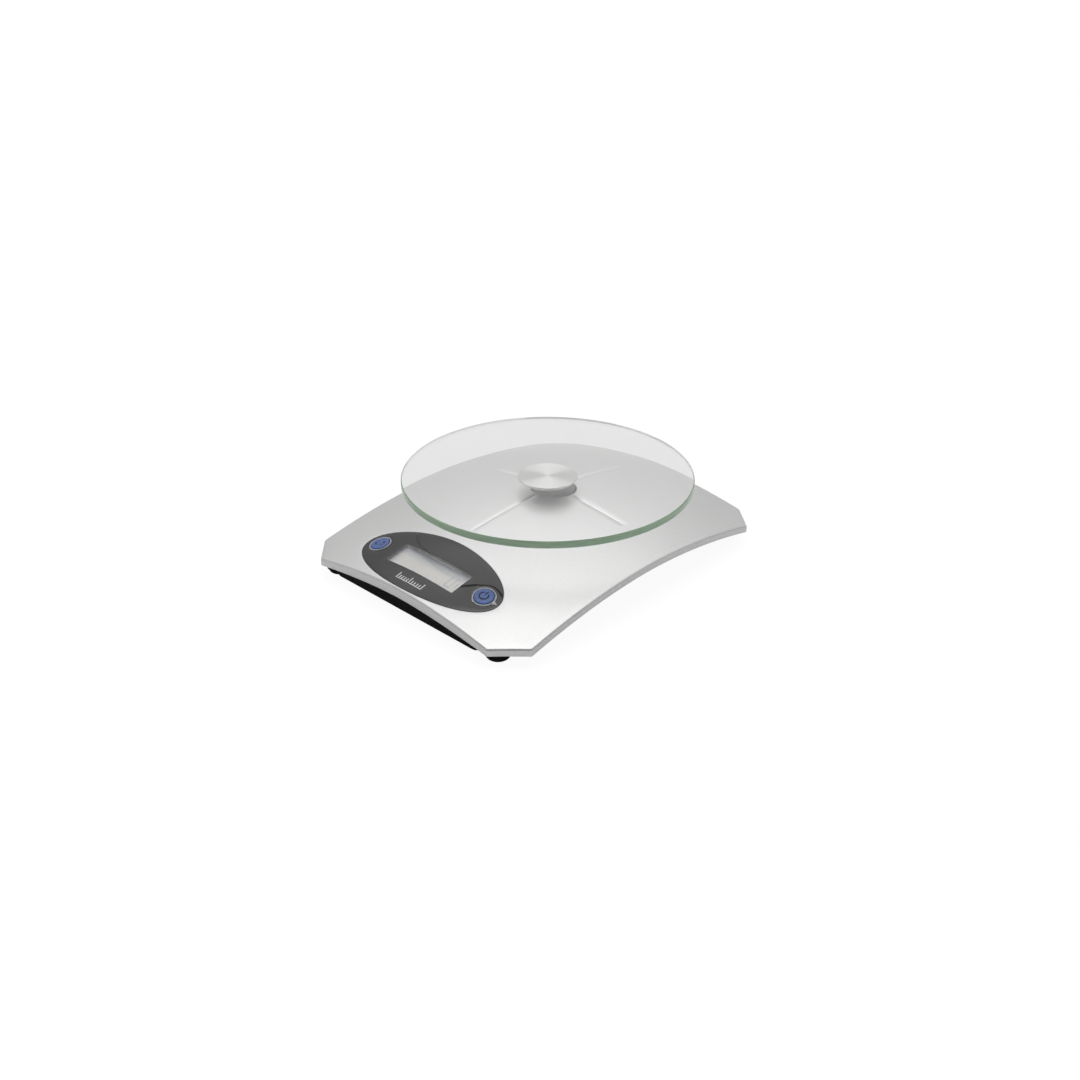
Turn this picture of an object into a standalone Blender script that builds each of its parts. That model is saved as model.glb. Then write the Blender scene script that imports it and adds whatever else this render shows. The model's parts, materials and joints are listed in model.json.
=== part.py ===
"""Electronic kitchen scale: a round glass platform on a metal hub, over a thin domed body.

Metres, +Z up. The origin is on the table, under the middle of the body. +X is the user's right and
+Y points away from the user, so the display is near the -Y edge.
"""

import math

import bmesh
import bpy
from mathutils import Matrix, Vector
from mathutils.geometry import delaunay_2d_cdt

GAP = 0.0003

# Body outline: a rectangle with cut corners.
HALF_WIDTH = 0.0746
HALF_LENGTH = 0.0958
CORNER_CUT_X = 0.0146
CORNER_CUT_Y = 0.0138
CORNER_INSET_SHARE = 0.586

# Domed top of the body: the crest's height, and its drop to the sides and to the ends.
CREST_Z = 0.0299
SIDE_DROP = 0.0105
END_DROP = 0.0135
SIDE_POWER = 1.75
END_POWER = 1.90

# Silver cover.
RIM_HEIGHT = 0.0038
RIM_END_EXTRA = 0.0015
RIM_END_HALF = 0.060
COVER_WALL = 0.0018
RIM_WALL = 0.0022
CREASE_DEPTH = 0.0005
CREASE_WIDTH = 0.0019
CREASE_LENGTHS = {"right": 0.048, "back": 0.062, "left": 0.043, "front": 0.059}
CREASE_STEPS = 6
PATCH = 0.016

# Black tray under it: an arched plate with a deep well for the works.
PLATE_INSET = 0.0025
PLATE_RECESS = 0.0003
PLATE_THICK = 0.0012
PLATE_SAG = 0.0035
TRAY_BOTTOM = 0.0026
TRAY_WALL = 0.0020
TRAY_FLOOR = TRAY_BOTTOM + TRAY_WALL
BAY_HALF = 0.0528
BAY_FRONT = -0.0933
BAY_BACK = -0.0550
SPINE_HALF = 0.0316
SPINE_BACK = 0.0816
WELL_TOP = 0.0270
WELL_CORNER = 0.0030
BAY_END_ROUND = ((0.0004, 0.0020), (0.0010, 0.0010), (0.0021, 0.0002), (0.0030, 0.0))
BAY_END_SWEEP = 0.0032
BOTTOM_CHAMFER = 0.0004

# Rubber feet.
FOOT_X = 0.0573
FOOT_Y = 0.0861
FOOT_RADIUS = 0.0058
FOOT_EDGE = 0.0016
FOOT_SOCKET_DEPTH = 0.0012
FOOT_BOSS_WALL = 0.0009

# Platform: glass, hub and the post's neck share one upright axis. The post's foot and the hole in
# the cover are a little further back.
PLATFORM_Y = 0.0070
POST_Y = 0.0115
GLASS_RADIUS = 0.0753
GLASS_TOP = 0.0419
GLASS_THICK = 0.0038
GLASS_EDGE = 0.0006
HUB_RADIUS = 0.0156
HUB_LOW_RADIUS = 0.0134
HUB_EDGE = 0.0004
HUB_THICK = 0.0026
HUB_STUD_RADIUS = 0.0040
HUB_STUD_LENGTH = 0.0044
NECK_RADIUS = 0.0068
POST_RADIUS = 0.0113
POST_CLEARANCE = 0.0008
POST_BORE_WEB = 0.0030
POST_FOOT_TOP = 0.0301
HUB_TOP = GLASS_TOP - GLASS_THICK - GAP
HUB_UNDERSIDE = HUB_TOP - HUB_THICK
POST_TOP = HUB_UNDERSIDE - GAP

# Load cell, a square beam along Y with its free end to the front.
BEAM_SIDE = 0.0127
BEAM_LENGTH = 0.0750
BEAM_BOTTOM = 0.0086
BEAM_TOP = BEAM_BOTTOM + BEAM_SIDE
BEAM_EYE_RADIUS = 0.0046
BEAM_EYE_OFFSET = 0.0070
BEAM_SLOT_HALF = 0.0010
BEAM_Y = 0.0100
BEAM_FRONT = BEAM_Y - BEAM_LENGTH / 2
BEAM_BACK = BEAM_Y + BEAM_LENGTH / 2
CELL_SCREW_INSETS = (0.0042, 0.0112)
CELL_SCREW_RADIUS = 0.0019
CELL_SCREW_HEAD = 0.0034
CELL_SCREW_HEAD_THICK = 0.0012
CELL_SCREW_LENGTH = 0.0100
CELL_SCREW_SEAT = 0.0054
CELL_HOLE_DEPTH = 0.0080
SEAL_SIZE = (0.0090, 0.0160, 0.0005)
STOP_CLEARANCE = 0.0006
STOP_BOSS_RADIUS = 0.0042
SHIM_THICK = 0.0010
SHIM_LENGTH = 0.0165
PEDESTAL_TOP = BEAM_BOTTOM - GAP - SHIM_THICK - GAP

# Bracket that carries the post on the beam's free end.
BRACKET_THICK = 0.0020
BRACKET_PAD = 0.0012
BRACKET_HALF = 0.0120
BRACKET_BACK = 0.0235
BRACKET_PAD_LENGTH = 0.0151
BRACKET_UNDERSIDE = BEAM_TOP + GAP + BRACKET_PAD
BRACKET_TOP = BRACKET_UNDERSIDE + BRACKET_THICK

# Display, in its own plane: u along +X, v up the slope, n out of the surface.
PANEL_HALF_U = 0.0462
PANEL_HALF_V = 0.0195
PANEL_Y = -0.0751
PANEL_THICK = 0.0010
POCKET_DEPTH = PANEL_THICK + GAP
BACKING_DEPTH = 0.0028
BACKING_MARGIN = 0.0012
DISPLAY_Y = -0.0750
LCD_U = 0.0006
LCD_V = -0.0017
LCD_SIZE = (0.0500, 0.0190, 0.0024)
LCD_TOP = -0.0030
LCD_LEDGE = 0.0030
OPENING_SIZE = (0.0530, 0.0220)
HOLDER_MARGIN = 0.0028
HOLDER_TOP = -0.0052
PCB_TOP = -0.0104
PCB_SIZE = (0.0860, 0.0300, 0.0016)
PCB_V = -0.0005
PCB_SCREW_U = 0.0325
PCB_SCREW_V = 0.0090
PCB_BOSS_RADIUS = 0.0030
PCB_PILOT_DEPTH = 0.0044
STRIP_HALF = 0.0220
STRIP_FRONT = 0.0024
STRIP_BACK = 0.0004

# Buttons and the switches under them.
BUTTON_U = 0.0373
BUTTON_V = -0.0007
BUTTON_RADIUS = 0.0049
BUTTON_PROUD = 0.0006
BUTTON_CROWN = 0.0003
BUTTON_EDGE = 0.0007
BUTTON_FOOT = -0.0078
BUTTON_FLANGE_RADIUS = 0.0060
BUTTON_FLANGE_THICK = 0.0008
RING_OUTER = 0.0058
RING_INNER = BUTTON_RADIUS + GAP
RING_PROUD = 0.0002
SWITCH_SIDE = 0.0060
SWITCH_LID = 0.0008
SWITCH_FLOOR = 0.0004
PLUNGER_FLOAT = 0.0005
PLUNGER_RADIUS = 0.0015

# Two AAA cells side by side behind the load cell.
CELL_RADIUS = 0.00525
CELL_LENGTH = 0.0445
CELL_NUB_RADIUS = 0.0019
CELL_NUB_LENGTH = 0.0010
CELL_YS = (0.0600, 0.0716)
CONTACT_X = 0.0246
CONTACT_THICK = 0.0005
SPRING_RADIUS = 0.0036
SPRING_WIRE = 0.00035
SPRING_TURNS = 3
CONTACT_REACH = 0.0048
CONTACT_LOW = 0.0060
CONTACT_HIGH = 0.0130
BAY_WALL_FRONT = 0.0514
BAY_WALL_BACK = 0.0530
BAY_WALL_TOP = 0.0150
BAY_SIDE_X = 0.0254
BAY_SIDE_TOP = 0.0125
DOOR_FRONT = 0.0540
DOOR_HALF = 0.0244
DOOR_THICK = 0.0018
DOOR_TONGUE = 0.0012
DOOR_TONGUE_LOW = 0.0006
DOOR_TONGUE_HIGH = 0.0013
GRIP_COUNT = 4
GRIP_Y = 0.0695
GRIP_PITCH = 0.0022
GRIP_HALF = 0.0080
GRIP_WIDTH = 0.0009
GRIP_PROUD = 0.0005
CELL_Z = TRAY_BOTTOM + DOOR_THICK + 0.0004 + CELL_RADIUS

# Screws that hold the tray to the cover, from below.
CASE_SCREW_SPOTS = ((-0.0245, -0.0440), (0.0245, -0.0440), (-0.0245, 0.0460), (0.0245, 0.0460))
CASE_BOSS_RADIUS = 0.0034
CASE_BOSS_BOTTOM = 0.0083
CASE_SEAT_RADIUS = 0.0045
CASE_HEAD_ROOM = 0.0029
CASE_SEAT = 0.0062
PILOT_RADIUS = 0.0015
PILOT_DEPTH = 0.0090
HOLE_REACH = 0.0100

# Wires, from the cells and the load cell to the circuit board.
CABLE_RADIUS = 0.0008
LEAD_RADIUS = 0.0006
LEAD_LEVEL = 0.0090

# Colour, roughness and metallic value of each material.
FINISHES = {
    "silver_paint": ((0.72, 0.72, 0.71), 0.32, 0.55),
    "black_plastic": ((0.020, 0.019, 0.019), 0.45, 0.0),
    "clear_glass": ((0.80, 0.90, 0.84), 0.03, 0.0),
    "spun_metal": ((0.66, 0.67, 0.64), 0.28, 1.0),
    "dark_metal": ((0.30, 0.30, 0.29), 0.30, 1.0),
    "black_rubber": ((0.025, 0.025, 0.026), 0.75, 0.0),
    "smoked_panel": ((0.070, 0.070, 0.075), 0.08, 0.0),
    "lcd_glass": ((0.52, 0.55, 0.49), 0.15, 0.0),
    "white_plastic": ((0.75, 0.75, 0.73), 0.45, 0.0),
    "blue_plastic": ((0.12, 0.19, 0.44), 0.28, 0.0),
    "clear_plastic": ((0.70, 0.71, 0.74), 0.20, 0.0),
    "green_board": ((0.02, 0.16, 0.07), 0.40, 0.0),
    "black_epoxy": ((0.010, 0.010, 0.010), 0.25, 0.0),
    "grey_silicone": ((0.30, 0.30, 0.32), 0.60, 0.0),
    "white_silicone": ((0.82, 0.82, 0.80), 0.55, 0.0),
    "aluminium": ((0.70, 0.71, 0.72), 0.35, 1.0),
    "steel": ((0.55, 0.55, 0.56), 0.30, 1.0),
    "battery_label": ((0.06, 0.10, 0.16), 0.35, 0.3),
    "red_insulation": ((0.45, 0.02, 0.02), 0.40, 0.0),
    "black_insulation": ((0.015, 0.015, 0.015), 0.40, 0.0),
    "grey_insulation": ((0.35, 0.35, 0.36), 0.45, 0.0),
}


# ---------------------------------------------------------------- scene and mesh helpers


def clear_scene():
    for item in list(bpy.data.objects):
        bpy.data.objects.remove(item, do_unlink=True)


def material_named(name):
    found = bpy.data.materials.get(name)
    if found:
        return found
    colour, roughness, metallic = FINISHES[name]
    material = bpy.data.materials.new(name)
    material.use_nodes = True
    shader = material.node_tree.nodes["Principled BSDF"]
    shader.inputs["Base Color"].default_value = (*colour, 1.0)
    shader.inputs["Roughness"].default_value = roughness
    shader.inputs["Metallic"].default_value = metallic
    if name in ("clear_glass", "clear_plastic"):
        shader.inputs["Transmission Weight"].default_value = 0.9
    return material


def add_object(name, bm, material=None, matrix=None, smooth=None):
    """Turns a bmesh into a named object, placed by matrix, with edges sharper than smooth kept."""
    mesh = bpy.data.meshes.new(name)
    bmesh.ops.recalc_face_normals(bm, faces=bm.faces)
    bm.to_mesh(mesh)
    bm.free()
    if smooth:
        mesh.shade_smooth()
        mesh.set_sharp_from_angle(angle=math.radians(smooth))
    item = bpy.data.objects.new(name, mesh)
    bpy.context.scene.collection.objects.link(item)
    if material:
        mesh.materials.append(material_named(material))
    if matrix:
        item.matrix_world = matrix
    return item


def combine(target, tools, operation):
    """Joins the tool objects to target, or cuts them out of it, and removes them."""
    for tool in tools:
        modifier = target.modifiers.new(operation, "BOOLEAN")
        modifier.operation = operation
        modifier.object = tool
        modifier.solver = "EXACT"
    bpy.context.view_layer.update()
    evaluated = target.evaluated_get(bpy.context.evaluated_depsgraph_get())
    result = bpy.data.meshes.new_from_object(evaluated)
    target.modifiers.clear()
    target.data = result
    for tool in tools:
        bpy.data.objects.remove(tool, do_unlink=True)
    return target


def join(target, bm, matrix=None):
    return combine(target, [add_object("tool", bm, matrix=matrix)], "UNION")


def cut(target, bm, matrix=None):
    return combine(target, [add_object("tool", bm, matrix=matrix)], "DIFFERENCE")


def place(x=0.0, y=0.0, z=0.0):
    return Matrix.Translation((x, y, z))


# ---------------------------------------------------------------- basic shapes


def turned(profile, segments=24, looped=False):
    """Solid of revolution about Z. profile is (radius, z) points; it meets the axis unless looped."""
    bm = bmesh.new()
    points = [bm.verts.new((radius, 0.0, z)) for radius, z in profile]
    edges = [bm.edges.new(pair) for pair in zip(points, points[1:])]
    if looped:
        edges.append(bm.edges.new((points[-1], points[0])))
    bmesh.ops.spin(
        bm,
        geom=points + edges,
        axis=(0, 0, 1),
        cent=(0, 0, 0),
        angle=2 * math.pi,
        steps=segments,
        use_merge=True,
    )
    bmesh.ops.remove_doubles(bm, verts=bm.verts, dist=1e-7)
    poles = [vert for vert in bm.verts if vert.co.xy.length < 1e-7]
    flat = [pole for pole in poles if all(is_level(edge) for edge in pole.link_edges)]
    bmesh.ops.dissolve_verts(bm, verts=flat)
    return bm


def is_level(edge):
    return abs(edge.verts[0].co.z - edge.verts[1].co.z) < 1e-7


def rod(radius, low, high, segments=24):
    return turned([(0, low), (radius, low), (radius, high), (0, high)], segments)


def block(low, high, corner=0.0):
    """Box between two corners, with its upright edges rounded by corner."""
    bm = bmesh.new()
    bmesh.ops.create_cube(bm, size=1.0)
    size = [b - a for a, b in zip(low, high)]
    middle = [(a + b) / 2 for a, b in zip(low, high)]
    bmesh.ops.scale(bm, vec=size, verts=bm.verts)
    bmesh.ops.translate(bm, vec=middle, verts=bm.verts)
    if corner:
        upright = [edge for edge in bm.edges if not is_level(edge)]
        bmesh.ops.bevel(bm, geom=upright, offset=corner, segments=3, profile=0.5, affect="EDGES")
    return bm


def stacked(levels):
    """Closed solid through outlines of equally many points. levels is (outline, z) from the bottom up."""
    bm = bmesh.new()
    rings = [[bm.verts.new((x, y, z)) for x, y in outline] for outline, z in levels]
    bm.faces.new(rings[0])
    bm.faces.new(rings[-1])
    for low, high in zip(rings, rings[1:]):
        for i in range(len(low)):
            bm.faces.new((low[i - 1], low[i], high[i], high[i - 1]))
    return bm


def ellipse(half_x, half_y, centre_y=0.0, points=40):
    turns = [2 * math.pi * i / points for i in range(points)]
    return [(half_x * math.cos(t), centre_y + half_y * math.sin(t)) for t in turns]


def rounded(corners, radius, steps=3):
    """Outline with each corner replaced by a short curve that ends radius away from it."""
    outline = []
    for i, corner in enumerate(corners):
        here = Vector(corner)
        before = here + (Vector(corners[i - 1]) - here).normalized() * radius
        after = here + (Vector(corners[(i + 1) % len(corners)]) - here).normalized() * radius
        for k in range(steps + 1):
            t = k / steps
            point = before * (1 - t) ** 2 + here * 2 * t * (1 - t) + after * t**2
            outline.append((point.x, point.y))
    return outline


def divided(outline, spacing):
    """Outline with points added so that no side is longer than spacing."""
    result = []
    for i, start in enumerate(outline):
        end = outline[(i + 1) % len(outline)]
        count = max(1, math.ceil(math.dist(start, end) / spacing))
        for k in range(count):
            t = k / count
            result.append((start[0] + (end[0] - start[0]) * t, start[1] + (end[1] - start[1]) * t))
    return result


def is_inside(point, outline):
    crossings = False
    for i, (x1, y1) in enumerate(outline):
        x2, y2 = outline[i - 1]
        if (y1 > point[1]) != (y2 > point[1]):
            if point[0] < (x2 - x1) * (point[1] - y1) / (y2 - y1) + x1:
                crossings = not crossings
    return crossings


def slab(outline, top, bottom, spacing=PATCH, creases=()):
    """Closed plate over an outline, between two height functions of x and y.

    creases are polylines of (x, y, height above top), which become edges of the upper side.
    """
    outline = divided(outline, spacing)
    count = len(outline)
    points = [Vector(p) for p in outline]
    lines = [(i, (i + 1) % count) for i in range(count)]
    lifts = {}
    for crease in creases:
        for k, (x, y, lift) in enumerate(crease):
            lifts[(round(x, 6), round(y, 6))] = lift
            if k:
                lines.append((len(points) - 1, len(points)))
            points.append(Vector((x, y)))
    points += grid_inside(outline, points, spacing)
    flat, _, faces, *_ = delaunay_2d_cdt(points, lines, [list(range(count))], 1, 1e-7)
    bm = bmesh.new()
    upper = []
    lower = []
    for point in flat:
        lift = lifts.get((round(point.x, 6), round(point.y, 6)), 0.0)
        upper.append(bm.verts.new((point.x, point.y, top(point.x, point.y) + lift)))
        lower.append(bm.verts.new((point.x, point.y, bottom(point.x, point.y))))
    sides = {}
    for face in faces:
        bm.faces.new([upper[i] for i in face])
        bm.faces.new([lower[i] for i in reversed(face)])
        for i, k in zip(face, list(face[1:]) + [face[0]]):
            if (k, i) in sides:
                del sides[(k, i)]
            else:
                sides[(i, k)] = True
    for i, k in sides:
        bm.faces.new((upper[k], upper[i], lower[i], lower[k]))
    return bm


def grid_inside(outline, taken, spacing):
    """Points of a square grid inside an outline that keep clear of the taken points."""
    reach_x = math.ceil(max(abs(x) for x, _ in outline) / spacing)
    reach_y = math.ceil(max(abs(y) for _, y in outline) / spacing)
    spots = []
    for i in range(-reach_x, reach_x + 1):
        for k in range(-reach_y, reach_y + 1):
            spot = Vector((i * spacing, k * spacing))
            nearest = min((spot - p).length for p in taken)
            if nearest > spacing * 0.4 and is_inside(spot, outline):
                spots.append(spot)
    return spots


# ---------------------------------------------------------------- the body's surfaces


def dome(x, y):
    side = abs(x / HALF_WIDTH) ** SIDE_POWER
    end = abs(y / HALF_LENGTH) ** END_POWER
    return CREST_Z - SIDE_DROP * side - END_DROP * end


def below_dome(depth):
    return lambda x, y: dome(x, y) - depth


def below_rim(depth):
    return lambda x, y: rim_bottom(x, y) - depth


def above_plate(height):
    return lambda x, y: plate_bottom(x, y) + height


def level(height):
    return lambda x, y: height


def rim_bottom(x, y):
    middle = max(0.0, 1 - (x / RIM_END_HALF) ** 2)
    end = (y / HALF_LENGTH) ** 4
    return dome(x, y) - RIM_HEIGHT - RIM_END_EXTRA * middle * end


def plate_bottom(x, y):
    """Flush with the rim at the edge, and hanging lower towards the middle."""
    sag = PLATE_SAG * (1 - (x / HALF_WIDTH) ** 2) * (1 - (y / HALF_LENGTH) ** 2)
    return rim_bottom(x, y) + PLATE_RECESS - sag


def body_outline(inset):
    half_x = HALF_WIDTH - inset
    half_y = HALF_LENGTH - inset
    cut_x = CORNER_CUT_X - CORNER_INSET_SHARE * inset
    cut_y = CORNER_CUT_Y - CORNER_INSET_SHARE * inset
    quarter = [(half_x, half_y - cut_y), (half_x - cut_x, half_y)]
    right = [(x, -y) for x, y in reversed(quarter)] + quarter
    return right + [(-x, -y) for x, y in right]


def well_outline(inset, end_sweep):
    """T-shaped plan of the tray's well: a wide bay at the front and a spine to the back.

    inset moves all its walls inwards, and end_sweep moves the bay's two ends further in.
    """
    bay = BAY_HALF - inset - end_sweep
    spine = SPINE_HALF - inset
    half = [(bay, BAY_FRONT + inset), (bay, BAY_BACK - inset), (spine, BAY_BACK - inset)]
    half.append((spine, SPINE_BACK - inset))
    return rounded(half + [(-x, y) for x, y in reversed(half)], WELL_CORNER)


def well(inset, floor):
    """Solid of the well: its bottom edges are cut off, and the bay's ends are rounded up from the floor.

    BAY_END_ROUND has the height above the floor and how far in the end is there.
    """
    levels = [(well_outline(inset + BOTTOM_CHAMFER, BAY_END_SWEEP), floor)]
    levels += [(well_outline(inset, sweep), floor + rise) for rise, sweep in BAY_END_ROUND]
    return stacked(levels + [(well_outline(inset, 0.0), WELL_TOP)])


def crease_lines():
    """Four narrow grooves that run out from the post's hole and taper away."""
    start = POST_RADIUS + POST_CLEARANCE + 0.0010
    ways = {"right": (1, 0), "back": (0, 1), "left": (-1, 0), "front": (0, -1)}
    lines = []
    for name, (along_x, along_y) in ways.items():
        end = CREASE_LENGTHS[name]
        rows = {-1: [], 0: [], 1: []}
        for k in range(CREASE_STEPS):
            t = k / CREASE_STEPS
            reach = start + (end - start) * t
            for side, row in rows.items():
                offset = side * CREASE_WIDTH / 2 * (1 - t)
                x = along_x * reach - along_y * offset
                y = POST_Y + along_y * reach + along_x * offset
                row.append((x, y, 0.0 if side else -CREASE_DEPTH * (1 - t)))
        tip = (along_x * end, POST_Y + along_y * end, 0.0)
        lines += [rows[0] + [tip], rows[-1], rows[1]]
    return lines


# ---------------------------------------------------------------- the display's own plane


def display_frame():
    """Matrix from (u, v, n) to the world: a plane that touches the dome at the display."""
    step = 0.001
    rise = (dome(0, DISPLAY_Y + step) - dome(0, DISPLAY_Y - step)) / (2 * step)
    tilt = Matrix.Rotation(math.atan(rise), 4, "X")
    return place(0, DISPLAY_Y, dome(0, DISPLAY_Y)) @ tilt


def surface_height(frame, u, v):
    """Height n of the dome over a point of the display's plane."""
    n = 0.0
    for _ in range(6):
        point = frame @ Vector((u, v, n))
        n += (dome(point.x, point.y) - point.z) * frame[2][2]
    return n


def follow_dome(bm, frame, u, v, above):
    """Shifts the points higher than above so that a flat top follows the dome around (u, v)."""
    middle = surface_height(frame, u, v)
    for vert in bm.verts:
        if vert.co.z > above:
            vert.co.z += surface_height(frame, u + vert.co.x, v + vert.co.y) - middle


# ---------------------------------------------------------------- body pieces


def build_cover(frame):
    shell = slab(body_outline(0), dome, rim_bottom, creases=crease_lines())
    cover = add_object("top_cover", shell, "silver_paint")
    cut(cover, slab(body_outline(RIM_WALL), below_dome(COVER_WALL), below_rim(HOLE_REACH)))

    backing_outline = ellipse(PANEL_HALF_U + BACKING_MARGIN, PANEL_HALF_V + BACKING_MARGIN / 2, PANEL_Y)
    join(cover, slab(backing_outline, below_dome(COVER_WALL * 0.8), below_dome(BACKING_DEPTH)))
    for x, y in CASE_SCREW_SPOTS:
        boss_top = dome(x, y) - COVER_WALL / 2
        join(cover, rod(CASE_BOSS_RADIUS, CASE_BOSS_BOTTOM, boss_top), place(x, y))
    for side in (-1, 1):
        u = side * PCB_SCREW_U
        root = surface_height(frame, u, PCB_SCREW_V) - (POCKET_DEPTH + BACKING_DEPTH) / 2
        join(cover, rod(PCB_BOSS_RADIUS, PCB_TOP + GAP, root), frame @ place(u, PCB_SCREW_V))

    pocket_outline = ellipse(PANEL_HALF_U + GAP / 2, PANEL_HALF_V + GAP / 2, PANEL_Y)
    cut(cover, slab(pocket_outline, below_dome(-HOLE_REACH), below_dome(POCKET_DEPTH)))
    half_u, half_v = (size / 2 for size in OPENING_SIZE)
    opening = block((-half_u, -half_v, -HOLE_REACH), (half_u, half_v, HOLE_REACH))
    cut(cover, opening, frame @ place(LCD_U, LCD_V))
    for side in (-1, 1):
        hole = rod(RING_INNER + 0.0001, -HOLE_REACH, HOLE_REACH, 32)
        cut(cover, hole, frame @ place(side * BUTTON_U, BUTTON_V))
        pilot = rod(PILOT_RADIUS, PCB_TOP - GAP, PCB_TOP + PCB_PILOT_DEPTH, 16)
        cut(cover, pilot, frame @ place(side * PCB_SCREW_U, PCB_SCREW_V))
    for x, y in CASE_SCREW_SPOTS:
        pilot = rod(PILOT_RADIUS, CASE_BOSS_BOTTOM - GAP, CASE_BOSS_BOTTOM + PILOT_DEPTH, 16)
        cut(cover, pilot, place(x, y))
    hole = rod(POST_RADIUS + POST_CLEARANCE, CREST_Z - HOLE_REACH, CREST_Z + HOLE_REACH, 48)
    cut(cover, hole, place(0, POST_Y))
    return cover


def foot_spots():
    names = {"front_left": (-1, -1), "front_right": (1, -1), "rear_left": (-1, 1), "rear_right": (1, 1)}
    return {name: place(side_x * FOOT_X, side_y * FOOT_Y) for name, (side_x, side_y) in names.items()}


def build_tray():
    plate = slab(body_outline(PLATE_INSET), above_plate(PLATE_THICK), above_plate(0.0))
    tray = add_object("base_tray", plate, "black_plastic")

    outer = add_object("well", well(0.0, TRAY_BOTTOM))
    for spot in foot_spots().values():
        join(outer, rod(FOOT_RADIUS + FOOT_BOSS_WALL, TRAY_BOTTOM, WELL_TOP), spot)
    cut(outer, slab(body_outline(-GAP), level(CREST_Z + HOLE_REACH), above_plate(PLATE_THICK / 2)))
    combine(tray, [outer], "UNION")
    cut(tray, well(TRAY_WALL, TRAY_FLOOR))

    # Pedestals for the load cell and its stop, screw seats, and the walls of the battery bay.
    low = TRAY_FLOOR - TRAY_WALL / 2
    seat_x = BEAM_SIDE / 2 + 0.002
    wall_x = SPINE_HALF - TRAY_WALL / 2
    stop_y = BEAM_FRONT + CELL_SCREW_INSETS[0]
    join(tray, block((-seat_x, BEAM_BACK - SHIM_LENGTH, low), (seat_x, BEAM_BACK + 0.001, PEDESTAL_TOP)))
    join(tray, rod(STOP_BOSS_RADIUS, low, PEDESTAL_TOP), place(0, stop_y))
    join(tray, block((-wall_x, BAY_WALL_FRONT, low), (wall_x, BAY_WALL_BACK, BAY_WALL_TOP)))
    for x1, x2 in ((-wall_x, -BAY_SIDE_X), (BAY_SIDE_X, wall_x)):
        join(tray, block((x1, BAY_WALL_BACK - 0.001, low), (x2, SPINE_BACK - TRAY_WALL / 2, BAY_SIDE_TOP)))
    for x, y in CASE_SCREW_SPOTS:
        join(tray, rod(CASE_SEAT_RADIUS, low, CASE_BOSS_BOTTOM - GAP), place(x, y))

    for x, y in CASE_SCREW_SPOTS:
        cut(tray, stepped_hole(CASE_HEAD_ROOM, CASE_SEAT, PILOT_RADIUS), place(x, y))
    for inset in CELL_SCREW_INSETS:
        bore = stepped_hole(CELL_SCREW_HEAD + GAP, CELL_SCREW_SEAT, CELL_SCREW_RADIUS + GAP)
        cut(tray, bore, place(0, BEAM_BACK - inset))
    cut(tray, rod(CELL_SCREW_RADIUS + GAP, 0.0, HOLE_REACH), place(0, stop_y))
    for spot in foot_spots().values():
        cut(tray, rod(FOOT_RADIUS + GAP, 0.0, TRAY_BOTTOM + FOOT_SOCKET_DEPTH, 32), spot)
    way = DOOR_HALF + GAP
    groove = way + DOOR_TONGUE
    groove_low = TRAY_BOTTOM + DOOR_TONGUE_LOW - GAP
    groove_high = TRAY_BOTTOM + DOOR_TONGUE_HIGH + GAP
    behind = SPINE_BACK + HOLE_REACH
    cut(tray, block((-way, DOOR_FRONT, 0.0), (way, behind, TRAY_FLOOR + GAP)))
    cut(tray, block((-groove, DOOR_FRONT, groove_low), (groove, behind, groove_high)))
    return tray


def stepped_hole(head_radius, head_top, shank_radius):
    """Cutter for a screw from below: room for the head up to head_top, then for the shank."""
    wide = [(0, 0.0), (head_radius, 0.0), (head_radius, head_top)]
    return turned(wide + [(shank_radius, head_top), (shank_radius, HOLE_REACH), (0, HOLE_REACH)], 20)


def build_feet():
    top = TRAY_BOTTOM + FOOT_SOCKET_DEPTH - GAP
    edge = FOOT_EDGE
    profile = [(0, 0), (FOOT_RADIUS - edge, 0), (FOOT_RADIUS - edge * 0.3, edge * 0.3)]
    profile += [(FOOT_RADIUS, edge), (FOOT_RADIUS, top), (0, top)]
    for name, spot in foot_spots().items():
        add_object("foot_" + name, turned(profile, 24), "black_rubber", spot, smooth=40)


def add_screw(name, matrix, shank_radius, shank_length, head_radius, head_thick):
    """Screw pointing up, with the underside of its head at z = 0 and a cross recess in the head."""
    edge = head_thick * 0.3
    profile = [
        (0, -head_thick),
        (head_radius - edge, -head_thick),
        (head_radius, -head_thick + edge),
        (head_radius, 0),
        (shank_radius, 0),
        (shank_radius, shank_length - shank_radius),
        (shank_radius * 0.3, shank_length),
        (0, shank_length),
    ]
    item = add_object(name, turned(profile, 12), "steel", matrix)
    reach = head_radius * 0.55
    half = head_radius * 0.12
    bottom = -head_thick * 2
    top = -head_thick * 0.45
    cut(item, block((-reach, -half, bottom), (reach, half, top)), matrix)
    cut(item, block((-half, -reach, bottom), (half, reach, top)), matrix)
    return item


def build_case_screws():
    for number, (x, y) in enumerate(CASE_SCREW_SPOTS, 1):
        spot = place(x, y, CASE_SEAT - GAP)
        add_screw(f"case_screw_{number}", spot, 0.0012, 0.0100, 0.0026, 0.0018)


# ---------------------------------------------------------------- weighing pieces


def add_cell_screw(name, matrix):
    shank = (CELL_SCREW_RADIUS, CELL_SCREW_LENGTH)
    add_screw(name, matrix, *shank, CELL_SCREW_HEAD, CELL_SCREW_HEAD_THICK)


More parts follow.
